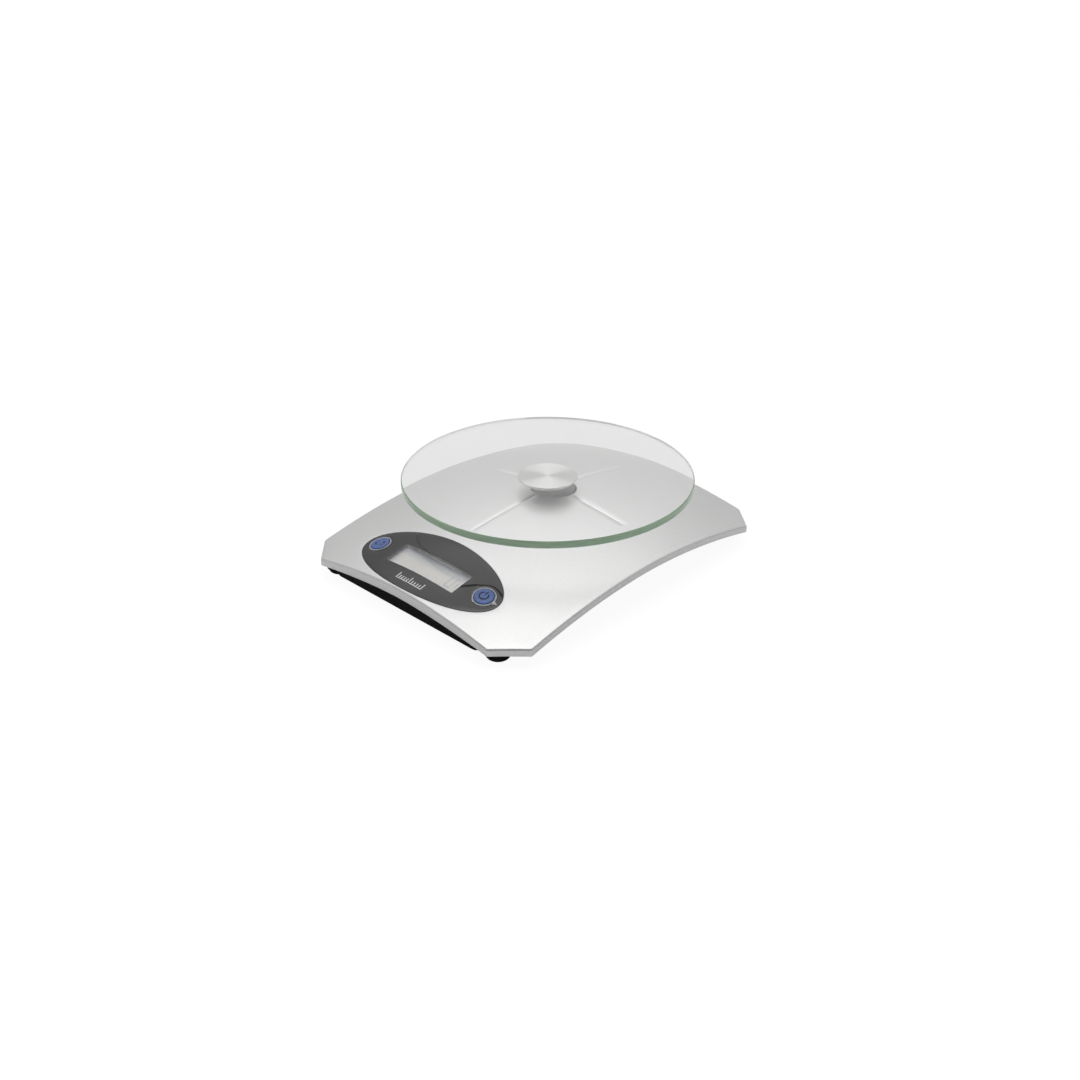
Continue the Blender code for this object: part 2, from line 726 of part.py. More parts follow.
def build_load_cell():
    half = BEAM_SIDE / 2
    beam = block((-half, BEAM_FRONT, BEAM_BOTTOM), (half, BEAM_BACK, BEAM_TOP))
    beam = add_object("load_cell", beam, "aluminium")
    middle_z = (BEAM_BOTTOM + BEAM_TOP) / 2
    across = Matrix.Rotation(math.pi / 2, 4, "Y")
    through = half + GAP
    for side in (-1, 1):
        eye = rod(BEAM_EYE_RADIUS, -through, through, 32)
        cut(beam, eye, place(0, BEAM_Y + side * BEAM_EYE_OFFSET, middle_z) @ across)
    low = (-through, BEAM_Y - BEAM_EYE_OFFSET, middle_z - BEAM_SLOT_HALF)
    high = (through, BEAM_Y + BEAM_EYE_OFFSET, middle_z + BEAM_SLOT_HALF)
    cut(beam, block(low, high))
    hole = CELL_SCREW_RADIUS + GAP
    for inset in CELL_SCREW_INSETS:
        cut(beam, rod(hole, BEAM_TOP - CELL_HOLE_DEPTH, BEAM_TOP + GAP), place(0, BEAM_FRONT + inset))
        cut(beam, rod(hole, BEAM_BOTTOM - GAP, BEAM_BOTTOM + CELL_HOLE_DEPTH), place(0, BEAM_BACK - inset))

    low = (-half, BEAM_BACK - SHIM_LENGTH + 0.0005, PEDESTAL_TOP + GAP)
    shim = add_object("load_cell_shim", block(low, (half, BEAM_BACK, BEAM_BOTTOM - GAP)), "steel")
    for number, inset in enumerate(CELL_SCREW_INSETS, 1):
        cut(shim, rod(hole, 0.0, HOLE_REACH * 1.5), place(0, BEAM_BACK - inset))
        add_cell_screw(f"load_cell_screw_{number}", place(0, BEAM_BACK - inset, CELL_SCREW_SEAT - GAP))

    half_x, half_y, thick = SEAL_SIZE[0] / 2, SEAL_SIZE[1] / 2, SEAL_SIZE[2]
    low = (-half_x, BEAM_Y - half_y, BEAM_TOP + GAP)
    high = (half_x, BEAM_Y + half_y, BEAM_TOP + GAP + thick)
    add_object("strain_gauge_seal", block(low, high, 0.0015), "white_silicone")

    spot = place(0, BEAM_FRONT + CELL_SCREW_INSETS[0])
    stop = rod(CELL_SCREW_RADIUS, TRAY_BOTTOM + 0.0004, BEAM_BOTTOM - STOP_CLEARANCE)
    stop = add_object("overload_stop_screw", stop, "steel", spot)
    cut(stop, rod(0.0010, 0.0, TRAY_BOTTOM + 0.0020, 6), spot)


def build_platform():
    """The pieces that sink together under a load."""
    axis = place(0, PLATFORM_Y)
    edge = GLASS_EDGE
    under = GLASS_TOP - GLASS_THICK
    profile = [(0, under), (GLASS_RADIUS - edge, under), (GLASS_RADIUS, under + edge)]
    profile += [(GLASS_RADIUS, GLASS_TOP - edge), (GLASS_RADIUS - edge, GLASS_TOP), (0, GLASS_TOP)]
    add_object("glass_platform", turned(profile, 72), "clear_glass", axis, smooth=50)

    edge = HUB_EDGE
    stud_end = HUB_UNDERSIDE - HUB_STUD_LENGTH
    profile = [(0, stud_end), (HUB_STUD_RADIUS, stud_end), (HUB_STUD_RADIUS, HUB_UNDERSIDE)]
    profile += [(HUB_LOW_RADIUS, HUB_UNDERSIDE), (HUB_RADIUS, HUB_TOP - edge)]
    profile += [(HUB_RADIUS - edge, HUB_TOP), (0, HUB_TOP)]
    add_object("hub_disc", turned(profile, 48), "spun_metal", axis, smooth=40)
    build_post(axis, stud_end - GAP)


def build_post(axis, bore_end):
    """Post with a broad foot in the cover's hole and a neck on the platform's axis, and its bracket."""
    foot_axis = place(0, POST_Y)
    low = BRACKET_TOP + GAP
    screw_bore = CELL_SCREW_RADIUS + GAP
    blind = low + POST_BORE_WEB - 0.0008
    post = add_object("hub_post", rod(POST_RADIUS, low, POST_FOOT_TOP, 48), "dark_metal", foot_axis)
    join(post, rod(NECK_RADIUS, POST_FOOT_TOP - 0.0020, POST_TOP, 40), axis)
    cut(post, rod(HUB_STUD_RADIUS + GAP, bore_end, POST_TOP + GAP), axis)
    cut(post, rod(screw_bore, low - GAP, blind), foot_axis)

    half = BRACKET_HALF
    corners = [(-half, BEAM_FRONT), (half, BEAM_FRONT), (half, BRACKET_BACK), (-half, BRACKET_BACK)]
    outline = rounded(corners, 0.004)
    bracket = stacked([(outline, BRACKET_UNDERSIDE), (outline, BRACKET_TOP)])
    bracket = add_object("load_bracket", bracket, "steel")
    half = BEAM_SIDE / 2
    pad_front = BEAM_FRONT + GAP
    pad_top = BRACKET_UNDERSIDE + BRACKET_THICK / 2
    pad = block((-half, pad_front, BEAM_TOP + GAP), (half, pad_front + BRACKET_PAD_LENGTH, pad_top))
    join(bracket, pad)
    for number, inset in enumerate(CELL_SCREW_INSETS, 1):
        cut(bracket, rod(screw_bore, BEAM_TOP, CREST_Z), place(0, BEAM_FRONT + inset))
        upside_down = Matrix.Rotation(math.pi, 4, "X")
        spot = place(0, BEAM_FRONT + inset, BRACKET_TOP + GAP) @ upside_down
        add_cell_screw(f"bracket_screw_{number}", spot)
    wide = CELL_SCREW_HEAD + GAP
    sink = [(0, BRACKET_UNDERSIDE - GAP), (wide + 0.0012, BRACKET_UNDERSIDE - GAP)]
    sink += [(screw_bore, BRACKET_TOP - 0.0002), (screw_bore, CREST_Z), (0, CREST_Z)]
    cut(bracket, turned(sink, 32), foot_axis)
    bracket.data.transform(axis.inverted())
    bracket.location = axis.translation

    under = BRACKET_UNDERSIDE + 0.0002
    shank = CELL_SCREW_RADIUS
    profile = [(0, under), (CELL_SCREW_HEAD + 0.0005, under), (shank, BRACKET_TOP - 0.0001)]
    profile += [(shank, blind - GAP), (0, blind - GAP)]
    fixing = add_object("post_screw", turned(profile, 24), "steel", foot_axis)
    cut(fixing, rod(0.0012, BRACKET_UNDERSIDE - 0.001, BRACKET_UNDERSIDE + 0.0012, 6), foot_axis)


# ---------------------------------------------------------------- display pieces


def build_display(frame):
    outline = ellipse(PANEL_HALF_U - GAP / 2, PANEL_HALF_V - GAP / 2, PANEL_Y)
    panel = add_object("display_panel", slab(outline, dome, below_dome(PANEL_THICK)), "smoked_panel")
    for side in (-1, 1):
        hole = rod(RING_OUTER + GAP, -HOLE_REACH, HOLE_REACH, 32)
        cut(panel, hole, frame @ place(side * BUTTON_U, BUTTON_V))

    # The LCD's two glasses, the lower one reaching out to its contacts, in a frame on the board.
    spot = frame @ place(LCD_U, 0)
    half_u, half_v, thick = LCD_SIZE[0] / 2, LCD_SIZE[1] / 2, LCD_SIZE[2]
    low_v, high_v = LCD_V - half_v, LCD_V + half_v
    middle = LCD_TOP - thick / 2
    upper = block((-half_u, low_v, middle - 0.0001), (half_u, high_v - LCD_LEDGE, LCD_TOP))
    lcd = add_object("lcd_module", upper, "lcd_glass", spot)
    lower = block((-half_u + 0.0002, low_v + 0.0002, LCD_TOP - thick), (half_u - 0.0002, high_v, middle))
    join(lcd, lower, spot)

    foot = PCB_TOP + GAP
    reach_u = half_u + GAP
    inner_low, inner_high = low_v - GAP, high_v + GAP
    margin = HOLDER_MARGIN
    low = (-reach_u - margin, inner_low - margin, foot)
    holder = block(low, (reach_u + margin, inner_high + margin, HOLDER_TOP), 0.001)
    holder = add_object("lcd_holder", holder, "white_plastic", spot)
    cut(holder, block((-reach_u, inner_low, foot - GAP), (reach_u, inner_high, HOLDER_TOP + GAP)), spot)

    low = (-STRIP_HALF, high_v - STRIP_FRONT, foot)
    strip = block(low, (STRIP_HALF, high_v - STRIP_BACK, LCD_TOP - thick - GAP))
    add_object("connector_strip", strip, "grey_silicone", spot)

    half_u, half_v, thick = PCB_SIZE[0] / 2, PCB_SIZE[1] / 2, PCB_SIZE[2]
    under = PCB_TOP - thick
    board = block((-half_u, PCB_V - half_v, under), (half_u, PCB_V + half_v, PCB_TOP), 0.002)
    board = add_object("circuit_board", board, "green_board", frame)
    for number, side in enumerate((-1, 1), 1):
        spot = frame @ place(side * PCB_SCREW_U, PCB_SCREW_V)
        cut(board, rod(PILOT_RADIUS, under - GAP, PCB_TOP + GAP, 16), spot)
        add_screw(f"board_screw_{number}", spot @ place(0, 0, under - GAP), 0.0012, 0.0055, 0.0024, 0.0012)
    blob = [(0, under - 0.0018), (0.0030, under - 0.0016), (0.0052, under - 0.0009)]
    blob += [(0.0060, under - GAP), (0, under - GAP)]
    add_object("controller_chip", turned(blob, 24), "black_epoxy", frame @ place(-0.012, 0.001), smooth=60)


def build_button(frame, name, side):
    """A cap that sinks along the display's n axis, its clear ring, and the switch under it."""
    u, v = side * BUTTON_U, BUTTON_V
    spot = frame @ place(u, v)
    surface = surface_height(frame, u, v)
    top = surface + BUTTON_PROUD
    edge = BUTTON_EDGE
    radius = BUTTON_RADIUS
    flange_top = BUTTON_FOOT + BUTTON_FLANGE_THICK
    profile = [(0, BUTTON_FOOT), (BUTTON_FLANGE_RADIUS, BUTTON_FOOT), (BUTTON_FLANGE_RADIUS, flange_top)]
    profile += [(radius, flange_top), (radius, top - edge), (radius - 0.3 * edge, top - 0.3 * edge)]
    profile += [(radius - edge, top), (0, top + BUTTON_CROWN)]
    cap = turned(profile, 32)
    follow_dome(cap, frame, u, v, flange_top + edge)
    add_object(f"{name}_button", cap, "blue_plastic", spot, smooth=45)

    low = surface - PANEL_THICK
    high = surface + RING_PROUD
    section = [(RING_INNER, low), (RING_OUTER, low), (RING_OUTER, high), (RING_INNER, high)]
    ring = turned(section, 32, looped=True)
    follow_dome(ring, frame, u, v, low - GAP)
    add_object(f"{name}_button_ring", ring, "clear_plastic", spot, smooth=40)

    half = SWITCH_SIDE / 2
    low = PCB_TOP + GAP
    plunger_top = BUTTON_FOOT - GAP
    body_top = plunger_top - SWITCH_LID
    body = block((-half, -half, low), (half, half, body_top))
    body = add_object(f"{name}_switch", body, "black_plastic", spot)
    cut(body, rod(PLUNGER_RADIUS + GAP, low + SWITCH_FLOOR, body_top + GAP), spot)
    plunger = rod(PLUNGER_RADIUS, low + SWITCH_FLOOR + PLUNGER_FLOAT, plunger_top)
    add_object(f"{name}_switch_plunger", plunger, "black_plastic", spot)


# ---------------------------------------------------------------- battery pieces


def build_batteries():
    radius = CELL_RADIUS
    edge = 0.0005
    inner_x = CONTACT_X - GAP
    body_end = CELL_LENGTH - CELL_NUB_LENGTH
    profile = [(0, 0), (radius - edge, 0), (radius, edge), (radius, body_end - edge)]
    profile += [(radius - edge, body_end), (CELL_NUB_RADIUS, body_end)]
    profile += [(CELL_NUB_RADIUS, CELL_LENGTH), (0, CELL_LENGTH)]
    spring_length = 2 * CONTACT_X - CELL_LENGTH - 3 * GAP
    for number, (y, way) in enumerate(zip(CELL_YS, (1, -1)), 1):
        along = Matrix.Rotation(way * math.pi / 2, 4, "Y")
        spot = place(way * (inner_x - CELL_LENGTH), y, CELL_Z) @ along
        add_object(f"battery_{number}", turned(profile, 32), "battery_label", spot, smooth=40)
        spot = place(-way * inner_x, y, CELL_Z) @ along
        add_object(f"battery_spring_{number}", coil_spring(spring_length), "steel", spot, smooth=60)

    outer = CONTACT_X + CONTACT_THICK
    first, second = CELL_YS
    plates = {
        "contact_bridge": (-outer, -CONTACT_X, first, second),
        "contact_positive": (CONTACT_X, outer, first, first),
        "contact_negative": (CONTACT_X, outer, second, second),
    }
    for name, (x1, x2, y1, y2) in plates.items():
        low = (x1, y1 - CONTACT_REACH, CONTACT_LOW)
        add_object(name, block(low, (x2, y2 + CONTACT_REACH, CONTACT_HIGH)), "steel")


def coil_spring(length, steps=10, sides=5):
    """Tapered coil along +Z, from its wide first turn to its narrow last one."""
    bm = bmesh.new()
    total = SPRING_TURNS * steps
    rings = []
    for i in range(total + 1):
        share = i / total
        angle = 2 * math.pi * SPRING_TURNS * share
        reach = SPRING_RADIUS * (1 - 0.35 * share) - SPRING_WIRE
        out = Vector((math.cos(angle), math.sin(angle), 0))
        centre = out * reach + Vector((0, 0, SPRING_WIRE + (length - 2 * SPRING_WIRE) * share))
        ring = []
        for k in range(sides):
            turn = 2 * math.pi * k / sides
            offset = out * math.cos(turn) + Vector((0, 0, math.sin(turn)))
            ring.append(bm.verts.new(centre + offset * SPRING_WIRE))
        rings.append(ring)
    for one, two in zip(rings, rings[1:]):
        for k in range(sides):
            bm.faces.new((one[k], one[k - 1], two[k - 1], two[k]))
    bm.faces.new(rings[0])
    bm.faces.new(rings[-1])
    return bm


def build_battery_door():
    """Slides off to the back in two grooves. Its origin is at the middle of its front edge."""
    back = SPINE_BACK - GAP - BOTTOM_CHAMFER
    low, high = TRAY_BOTTOM, TRAY_BOTTOM + DOOR_THICK
    front = DOOR_FRONT + GAP
    spot = place(0, front, low)
    length = back - front
    door = block((-DOOR_HALF, 0, 0), (DOOR_HALF, length, DOOR_THICK))
    door = add_object("battery_door", door, "black_plastic", spot)
    tongue = DOOR_HALF + DOOR_TONGUE
    rails = block((-tongue, 0.0002, DOOR_TONGUE_LOW), (tongue, length - 0.0002, DOOR_TONGUE_HIGH))
    join(door, rails, spot)
    for k in range(GRIP_COUNT):
        y = GRIP_Y + GRIP_PITCH * k - front
        grip = block((-GRIP_HALF, y, -GRIP_PROUD), (GRIP_HALF, y + GRIP_WIDTH, (high - low) / 3))
        join(door, grip, spot)


# ---------------------------------------------------------------- wires


def wire(name, points, radius, material):
    """Round wire along a smooth curve through a few route points."""
    route = [Vector(p) for p in points]
    steps = 3
    smooth = []
    for i in range(len(route) - 1):
        before = route[max(i - 1, 0)]
        start, end = route[i], route[i + 1]
        after = route[min(i + 2, len(route) - 1)]
        for k in range(steps):
            t = k / steps
            bend = (end - before) * t + (before * 2 - start * 5 + end * 4 - after) * t**2
            bend += (start * 3 - before - end * 3 + after) * t**3
            smooth.append(start + bend / 2)
    smooth.append(route[-1])
    curve = bpy.data.curves.new(name, "CURVE")
    curve.dimensions = "3D"
    curve.bevel_depth = radius
    curve.bevel_resolution = 0
    curve.use_fill_caps = True
    spline = curve.splines.new("POLY")
    spline.points.add(len(smooth) - 1)
    for point, spot in zip(spline.points, smooth):
        point.co = (*spot, 1.0)
    curve.materials.append(material_named(material))
    item = bpy.data.objects.new(name, curve)
    bpy.context.scene.collection.objects.link(item)


def build_wires(frame):
    """Both leads climb out of the battery bay, run along the tray's floor and end on the board."""

    def board_end(u):
        above = frame @ Vector((u, 0.0165, PCB_TOP + 0.0014))
        return [above, frame @ Vector((u, 0.0125, PCB_TOP + 0.0012))]

    side = BEAM_SIDE / 2 + 0.0016
    cable = [(side, BEAM_Y, 0.0200), (side, -0.010, 0.0200), (side, -0.034, 0.0185)]
    cable += [(0.0095, -0.050, 0.0165), *board_end(0.010)]
    wire("load_cell_cable", cable, CABLE_RADIUS, "grey_insulation")

    solder_x = CONTACT_X + 0.0002
    solder_z = CONTACT_HIGH + 0.0009
    red = [(solder_x, CELL_YS[0], solder_z), (0.0235, 0.0560, 0.0162), (0.0190, 0.0500, 0.0160)]
    red += [(0.0165, 0.0420, 0.0110), (0.0160, 0.0300, LEAD_LEVEL), (0.0160, -0.0300, LEAD_LEVEL)]
    red += [(0.0175, -0.0480, 0.0120), *board_end(0.020)]
    wire("battery_lead_red", red, LEAD_RADIUS, "red_insulation")

    black = [(solder_x, CELL_YS[1], solder_z), (0.0215, 0.0610, 0.0168), (0.0165, 0.0500, 0.0165)]
    black += [(0.0140, 0.0420, 0.0110), (0.0135, 0.0300, LEAD_LEVEL), (0.0135, -0.0300, LEAD_LEVEL)]
    black += [(0.0145, -0.0480, 0.0120), *board_end(0.016)]
    wire("battery_lead_black", black, LEAD_RADIUS, "black_insulation")


def main():
    clear_scene()
    frame = display_frame()
    build_cover(frame)
    build_tray()
    build_feet()
    build_case_screws()
    build_load_cell()
    build_platform()
    build_display(frame)
    build_button(frame, "unit", -1)
    build_button(frame, "tare", 1)
    build_batteries()
    build_battery_door()
    build_wires(frame)


main()
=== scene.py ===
"""Looks of the kitchen scale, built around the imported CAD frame.

Metres, +Z up, in the CAD's own frame: +X is the user's right, and the display is at -Y.
"""

import json
import math

import bmesh
import bpy
from mathutils import Matrix, Vector
from mathutils.geometry import delaunay_2d_cdt


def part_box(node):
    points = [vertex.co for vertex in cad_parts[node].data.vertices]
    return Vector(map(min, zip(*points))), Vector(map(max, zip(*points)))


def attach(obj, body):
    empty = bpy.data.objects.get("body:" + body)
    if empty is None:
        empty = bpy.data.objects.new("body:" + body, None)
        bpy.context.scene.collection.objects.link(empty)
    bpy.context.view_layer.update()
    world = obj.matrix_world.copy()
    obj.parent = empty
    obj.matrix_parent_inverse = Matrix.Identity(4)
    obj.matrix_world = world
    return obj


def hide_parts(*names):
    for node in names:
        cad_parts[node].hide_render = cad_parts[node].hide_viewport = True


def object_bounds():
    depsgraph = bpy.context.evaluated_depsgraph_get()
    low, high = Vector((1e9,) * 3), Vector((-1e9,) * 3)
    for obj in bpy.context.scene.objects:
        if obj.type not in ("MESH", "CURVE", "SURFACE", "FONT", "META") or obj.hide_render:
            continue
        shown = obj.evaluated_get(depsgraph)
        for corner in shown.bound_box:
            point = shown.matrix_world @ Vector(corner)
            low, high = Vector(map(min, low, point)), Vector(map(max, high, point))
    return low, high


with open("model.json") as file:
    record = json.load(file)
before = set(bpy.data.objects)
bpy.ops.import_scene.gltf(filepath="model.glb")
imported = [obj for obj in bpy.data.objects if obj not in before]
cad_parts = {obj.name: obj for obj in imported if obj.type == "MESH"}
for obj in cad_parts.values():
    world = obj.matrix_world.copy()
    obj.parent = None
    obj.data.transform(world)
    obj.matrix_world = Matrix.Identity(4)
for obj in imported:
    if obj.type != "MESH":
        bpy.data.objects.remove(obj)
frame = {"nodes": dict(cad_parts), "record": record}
cad_low, cad_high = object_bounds()

MM = 0.001
FULL_TURN = 2 * math.pi


def middle_of(node):
    low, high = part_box(node)
    return (low + high) / 2


# Body, as in the CAD: outline, dome and rim.
HALF_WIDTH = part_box("top_cover")[1].x
HALF_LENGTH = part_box("top_cover")[1].y
CORNER_CUT_X = 14.6 * MM
CORNER_CUT_Y = 13.8 * MM
CORNER_INSET_SHARE = 0.586
CORNER_ROUND = 1.6 * MM
SIDE_COUNTS = (8, 60, 8, 44)
CREST_Z = 29.9 * MM
SIDE_DROP = 10.5 * MM
END_DROP = 13.5 * MM
SIDE_POWER = 1.75
END_POWER = 1.90
RIM_HEIGHT = 3.8 * MM
RIM_END_EXTRA = 1.5 * MM
RIM_END_HALF = 60.0 * MM
COVER_WALL = 1.8 * MM
RIM_WALL = 2.2 * MM
RIM_CHAMFER = 0.6 * MM
RIM_CRISP = 0.12 * MM
RIM_LOW_ROUND = 0.5 * MM
SKIN_SPACING = 2.6 * MM
PLATE_SPACING = 3.0 * MM
LIP_ROUND = 0.3 * MM

# Post hole, with the four creases that run out from it, and a shallow dent beside them.
POST_FOOT = middle_of("post_screw").xy
POST_HOLE = 12.1 * MM
CREASE_START = POST_HOLE + 0.5 * MM
CREASE_HALF = 0.95 * MM
CREASE_DEPTH = 0.50 * MM
CREASE_STEPS = 26
CREASES = {
    "right": ((1, 0), 48.1 * MM),
    "back": ((0, 1), 62.0 * MM),
    "left": ((-1, 0), 43.0 * MM),
    "front": ((0, -1), 59.0 * MM),
}
DENT_PLACE = (36.0 * MM, 1.0 * MM)
DENT_RADIUS = 3.4 * MM
DENT_DEPTH = 0.10 * MM

# Platform pieces.
GLASS_LOW, GLASS_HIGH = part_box("glass_platform")
PLATFORM = middle_of("glass_platform").xy
GLASS_RADIUS = (GLASS_HIGH.x - GLASS_LOW.x) / 2
GLASS_EDGE = 0.5 * MM
HUB_LOW, HUB_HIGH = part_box("hub_disc")
HUB_RADIUS = (HUB_HIGH.x - HUB_LOW.x) / 2
HUB_LOW_RADIUS = 13.4 * MM
HUB_THICK = 2.6 * MM
HUB_EDGE_DROP = 0.55 * MM
HUB_EDGE_INSET = 0.45 * MM
STUD_RADIUS = 4.0 * MM
POST_LOW, POST_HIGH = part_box("hub_post")
POST_FOOT_RADIUS = 11.3 * MM
POST_FOOT_TOP = 30.1 * MM
NECK_RADIUS = 6.8 * MM
NECK_FLARE = 1.0 * MM
NECK_ROOT_DEPTH = 1.0 * MM

# Display, in its own plane: u along +X, v up the slope, height out of the surface.
PANEL_Y = middle_of("display_panel").y
PANEL_HALF_U = 46.2 * MM
PANEL_HALF_V = 19.5 * MM
PANEL_GAP = 0.15 * MM
PANEL_THICK = 1.0 * MM
PANE_LAP = 0.1 * MM
PANE_TOP = 0.05 * MM
PANE_BOTTOM = 0.7 * MM
POCKET_DEPTH = 1.3 * MM
DISPLAY_Y = -75.0 * MM
WINDOW_U = 0.6 * MM
WINDOW_V = -1.7 * MM
WINDOW_HALF_U = 22.95 * MM
WINDOW_HALF_V = 6.7 * MM
WINDOW_CORNER = 0.6 * MM
OPENING_HALF_U = 26.5 * MM
OPENING_HALF_V = 11.0 * MM
LCD_HALF_U = 25.0 * MM
LCD_HALF_V = 9.5 * MM
LCD_THICK = 2.4 * MM
LCD_TOP = -3.0 * MM
LCD_LEDGE = 3.0 * MM
BEZEL_GAP = 0.1 * MM
BEZEL_WALL = 1.2 * MM
HOLDER_WALL = 2.8 * MM
HOLDER_TOP = -5.2 * MM
BOARD_TOP = -10.4 * MM
BUTTON_U = 37.3 * MM
BUTTON_V = -0.7 * MM
BUTTON_RADIUS = 4.9 * MM
BUTTON_PROUD = 0.6 * MM
BUTTON_FOOT = -7.8 * MM
BUTTON_FLANGE_RADIUS = 6.0 * MM
BUTTON_FLANGE_THICK = 0.8 * MM
BUTTON_CROWN = 0.3 * MM
BUTTON_CROWN_RADIUS = 4.3 * MM
RING_INNER = 5.2 * MM
RING_OUTER = 5.8 * MM
RING_GAP = 0.2 * MM
RING_PROUD = 0.35 * MM
LUG_TIP = 8.0 * MM
LUG_HALF = 1.2 * MM
LUG_TIP_PROUD = 0.12 * MM

# Print: a tick scale and its base line under the window. A pale line round the window, which is a painted
# highlight on its edge. LCD cells, in millimetres.
PRINT_THICK = 0.03 * MM
TICKS = 11
TICK_START = -7.4 * MM
TICK_STEP = 1.7 * MM
TICK_FOOT = -15.4 * MM
TICK_TALL = 3.4 * MM
TICK_SHORT = 2.0 * MM
TICK_HALF = 0.32 * MM
BASE_START = -7.7 * MM
BASE_STEP = 1.76 * MM
BASE_V = -15.6 * MM
BASE_HALF = 0.22 * MM
LINE_GAP = 0.08 * MM
LINE_HALF = 0.12 * MM
LCD_CELLS = (
    ((14.6, -5.6), (14.6, 2.6)),
    ((18.0, -5.6), (18.0, 2.6)),
    ((20.4, -4.6), (20.4, -0.6)),
    ((14.6, -5.6), (18.0, -5.6)),
    ((14.6, 2.6), (18.0, 2.6)),
)
CELL_HALF = 0.3 * MM
CELL_THICK = 0.012 * MM

# Feet, with three low ridges round the middle of the sole.
FOOT_NAMES = ("front_left", "front_right", "rear_left", "rear_right")
FOOT_RADIUS = 5.8 * MM
FOOT_EDGE = 1.6 * MM
FOOT_TOP_EDGE = 0.2 * MM
RIDGE_REACHES = (1.3 * MM, 2.4 * MM, 3.5 * MM)
RIDGE_WIDTH = 0.5 * MM
RIDGE_HEIGHT = 0.35 * MM

# Materials. The last value turns the gloss of spun metal across its lines.
GRAIN_SCALE = 4000
GLASS_IOR = 1.52
ACRYLIC_IOR = 1.49
BATTERY_HALF = 22.5 * MM
ACROSS_THE_LINES = 0.25

# Camera, floor and light. The levels go by the sine of the height above the horizon. The sides are ranges
# of how much a direction faces the viewer's side: -1 is the far side and 1 the near one.
VIEW_AZIMUTH = 43.67
VIEW_PITCH = 28.26
CAMERA_PLACE = (0.3852, -0.4022, 0.3045)
CAMERA_LENS = 40.1
FLOOR_RADIUS = 30.0
FLOOR_GAP = 0.02 * MM
FLOOR_DIRECT_GREY = (0.12, 0.12, 0.12, 1.0)
WHITE = (1.0, 1.0, 1.0, 1.0)
DIRECT_GLOW = 0.94
THROUGH_GLASS_GLOW = 0.12
LIGHT_PEAK = 2.4
BANK_GAIN = 1.3
BANK_SIDE = (-0.60, -0.90)
NEAR_SIDE = (-0.15, 0.25)
FAR_LEVELS = ((0.0, 0.34), (0.30, 0.40), (0.40, 0.47), (0.515, 0.58), (0.62, 0.86))
FAR_LEVELS += ((0.707, 1.12), (0.78, 1.24), (0.88, 1.26), (0.96, 2.4))
NEAR_LEVELS = ((0.0, 0.33), (0.30, 0.38), (0.55, 0.28), (0.70, 0.10), (1.0, 0.10))


# ---- node materials


def new_material(name):
    material = bpy.data.materials.new(name)
    material.use_nodes = True
    tree = material.node_tree
    return material, tree, tree.nodes["Principled BSDF"]


def link(source, socket):
    source.id_data.links.new(source, socket)


def set_values(node, values):
    for socket, value in values.items():
        node.inputs[socket].default_value = value


def position(tree):
    return tree.nodes.new("ShaderNodeTexCoord").outputs["Object"]


def noise(tree, scale, detail=3.0, roughness=0.55, source=None, stretch=None):
    node = tree.nodes.new("ShaderNodeTexNoise")
    set_values(node, {"Scale": scale, "Detail": detail, "Roughness": roughness})
    place = source or position(tree)
    if stretch:
        mapping = tree.nodes.new("ShaderNodeMapping")
        mapping.inputs["Scale"].default_value = stretch
        link(place, mapping.inputs["Vector"])
        place = mapping.outputs["Vector"]
    link(place, node.inputs["Vector"])
    return node.outputs["Fac"]


def ramp(tree, source, stops):
    """Colour ramp with (place, colour) stops. A colour is a grey value or an RGB triple."""
    node = tree.nodes.new("ShaderNodeValToRGB")
    elements = node.color_ramp.elements
    while len(elements) < len(stops):
        elements.new(0.5)
    for element, (place, colour) in zip(elements, stops):
        element.position = place
        element.color = (*colour, 1.0) if isinstance(colour, tuple) else (colour, colour, colour, 1.0)
    link(source, node.inputs["Fac"])
    return node.outputs["Color"]


def vary(tree, shader, socket, source, low, high):
    """The socket wanders between low and high along with the source."""
    link(ramp(tree, source, [(0.3, low), (0.7, high)]), shader.inputs[socket])


def bump(tree, shader, source, strength, distance):
    node = tree.nodes.new("ShaderNodeBump")
    set_values(node, {"Strength": strength, "Distance": distance})
    link(source, node.inputs["Height"])
    link(node.outputs["Normal"], shader.inputs["Normal"])


def shade(colour, factor):
    return tuple(min(1.0, channel * factor) for channel in colour)


def mottled(name, colour, spread, scale, roughness, grain=0.0, metallic=0.0, specular=0.5):
    """Surface with soft colour and gloss variation, and a fine moulded, painted or rolled grain."""
    material, tree, shader = new_material(name)
    dark, light = shade(colour, 1 - spread), shade(colour, 1 + spread)
    vary(tree, shader, "Base Color", noise(tree, scale), dark, light)
    vary(tree, shader, "Roughness", noise(tree, scale * 2.3), roughness * 0.9, roughness * 1.1)
    set_values(shader, {"Metallic": metallic, "Specular IOR Level": specular})
    if grain:
        bump(tree, shader, noise(tree, GRAIN_SCALE, 2.0), 1.0, grain)
    return material


def silver_paint():
    """Silver lacquer: metallic flakes under a satin clear coat, with a faint orange-peel grain."""
    material, tree, shader = new_material("silver_paint")
    flakes = tree.nodes.new("ShaderNodeTexVoronoi")
    flakes.inputs["Scale"].default_value = 5200
    link(position(tree), flakes.inputs["Vector"])
    base = ramp(tree, flakes.outputs["Color"], [(0.0, (0.72, 0.72, 0.715)), (1.0, (0.84, 0.84, 0.835))])
    link(base, shader.inputs["Base Color"])
    vary(tree, shader, "Roughness", noise(tree, 60), 0.34, 0.39)
    set_values(shader, {"Metallic": 0.60, "Coat Weight": 0.15, "Coat Roughness": 0.20})
    bump(tree, shader, noise(tree, 2600, 2.0), 0.6, 0.010 * MM)
    return material


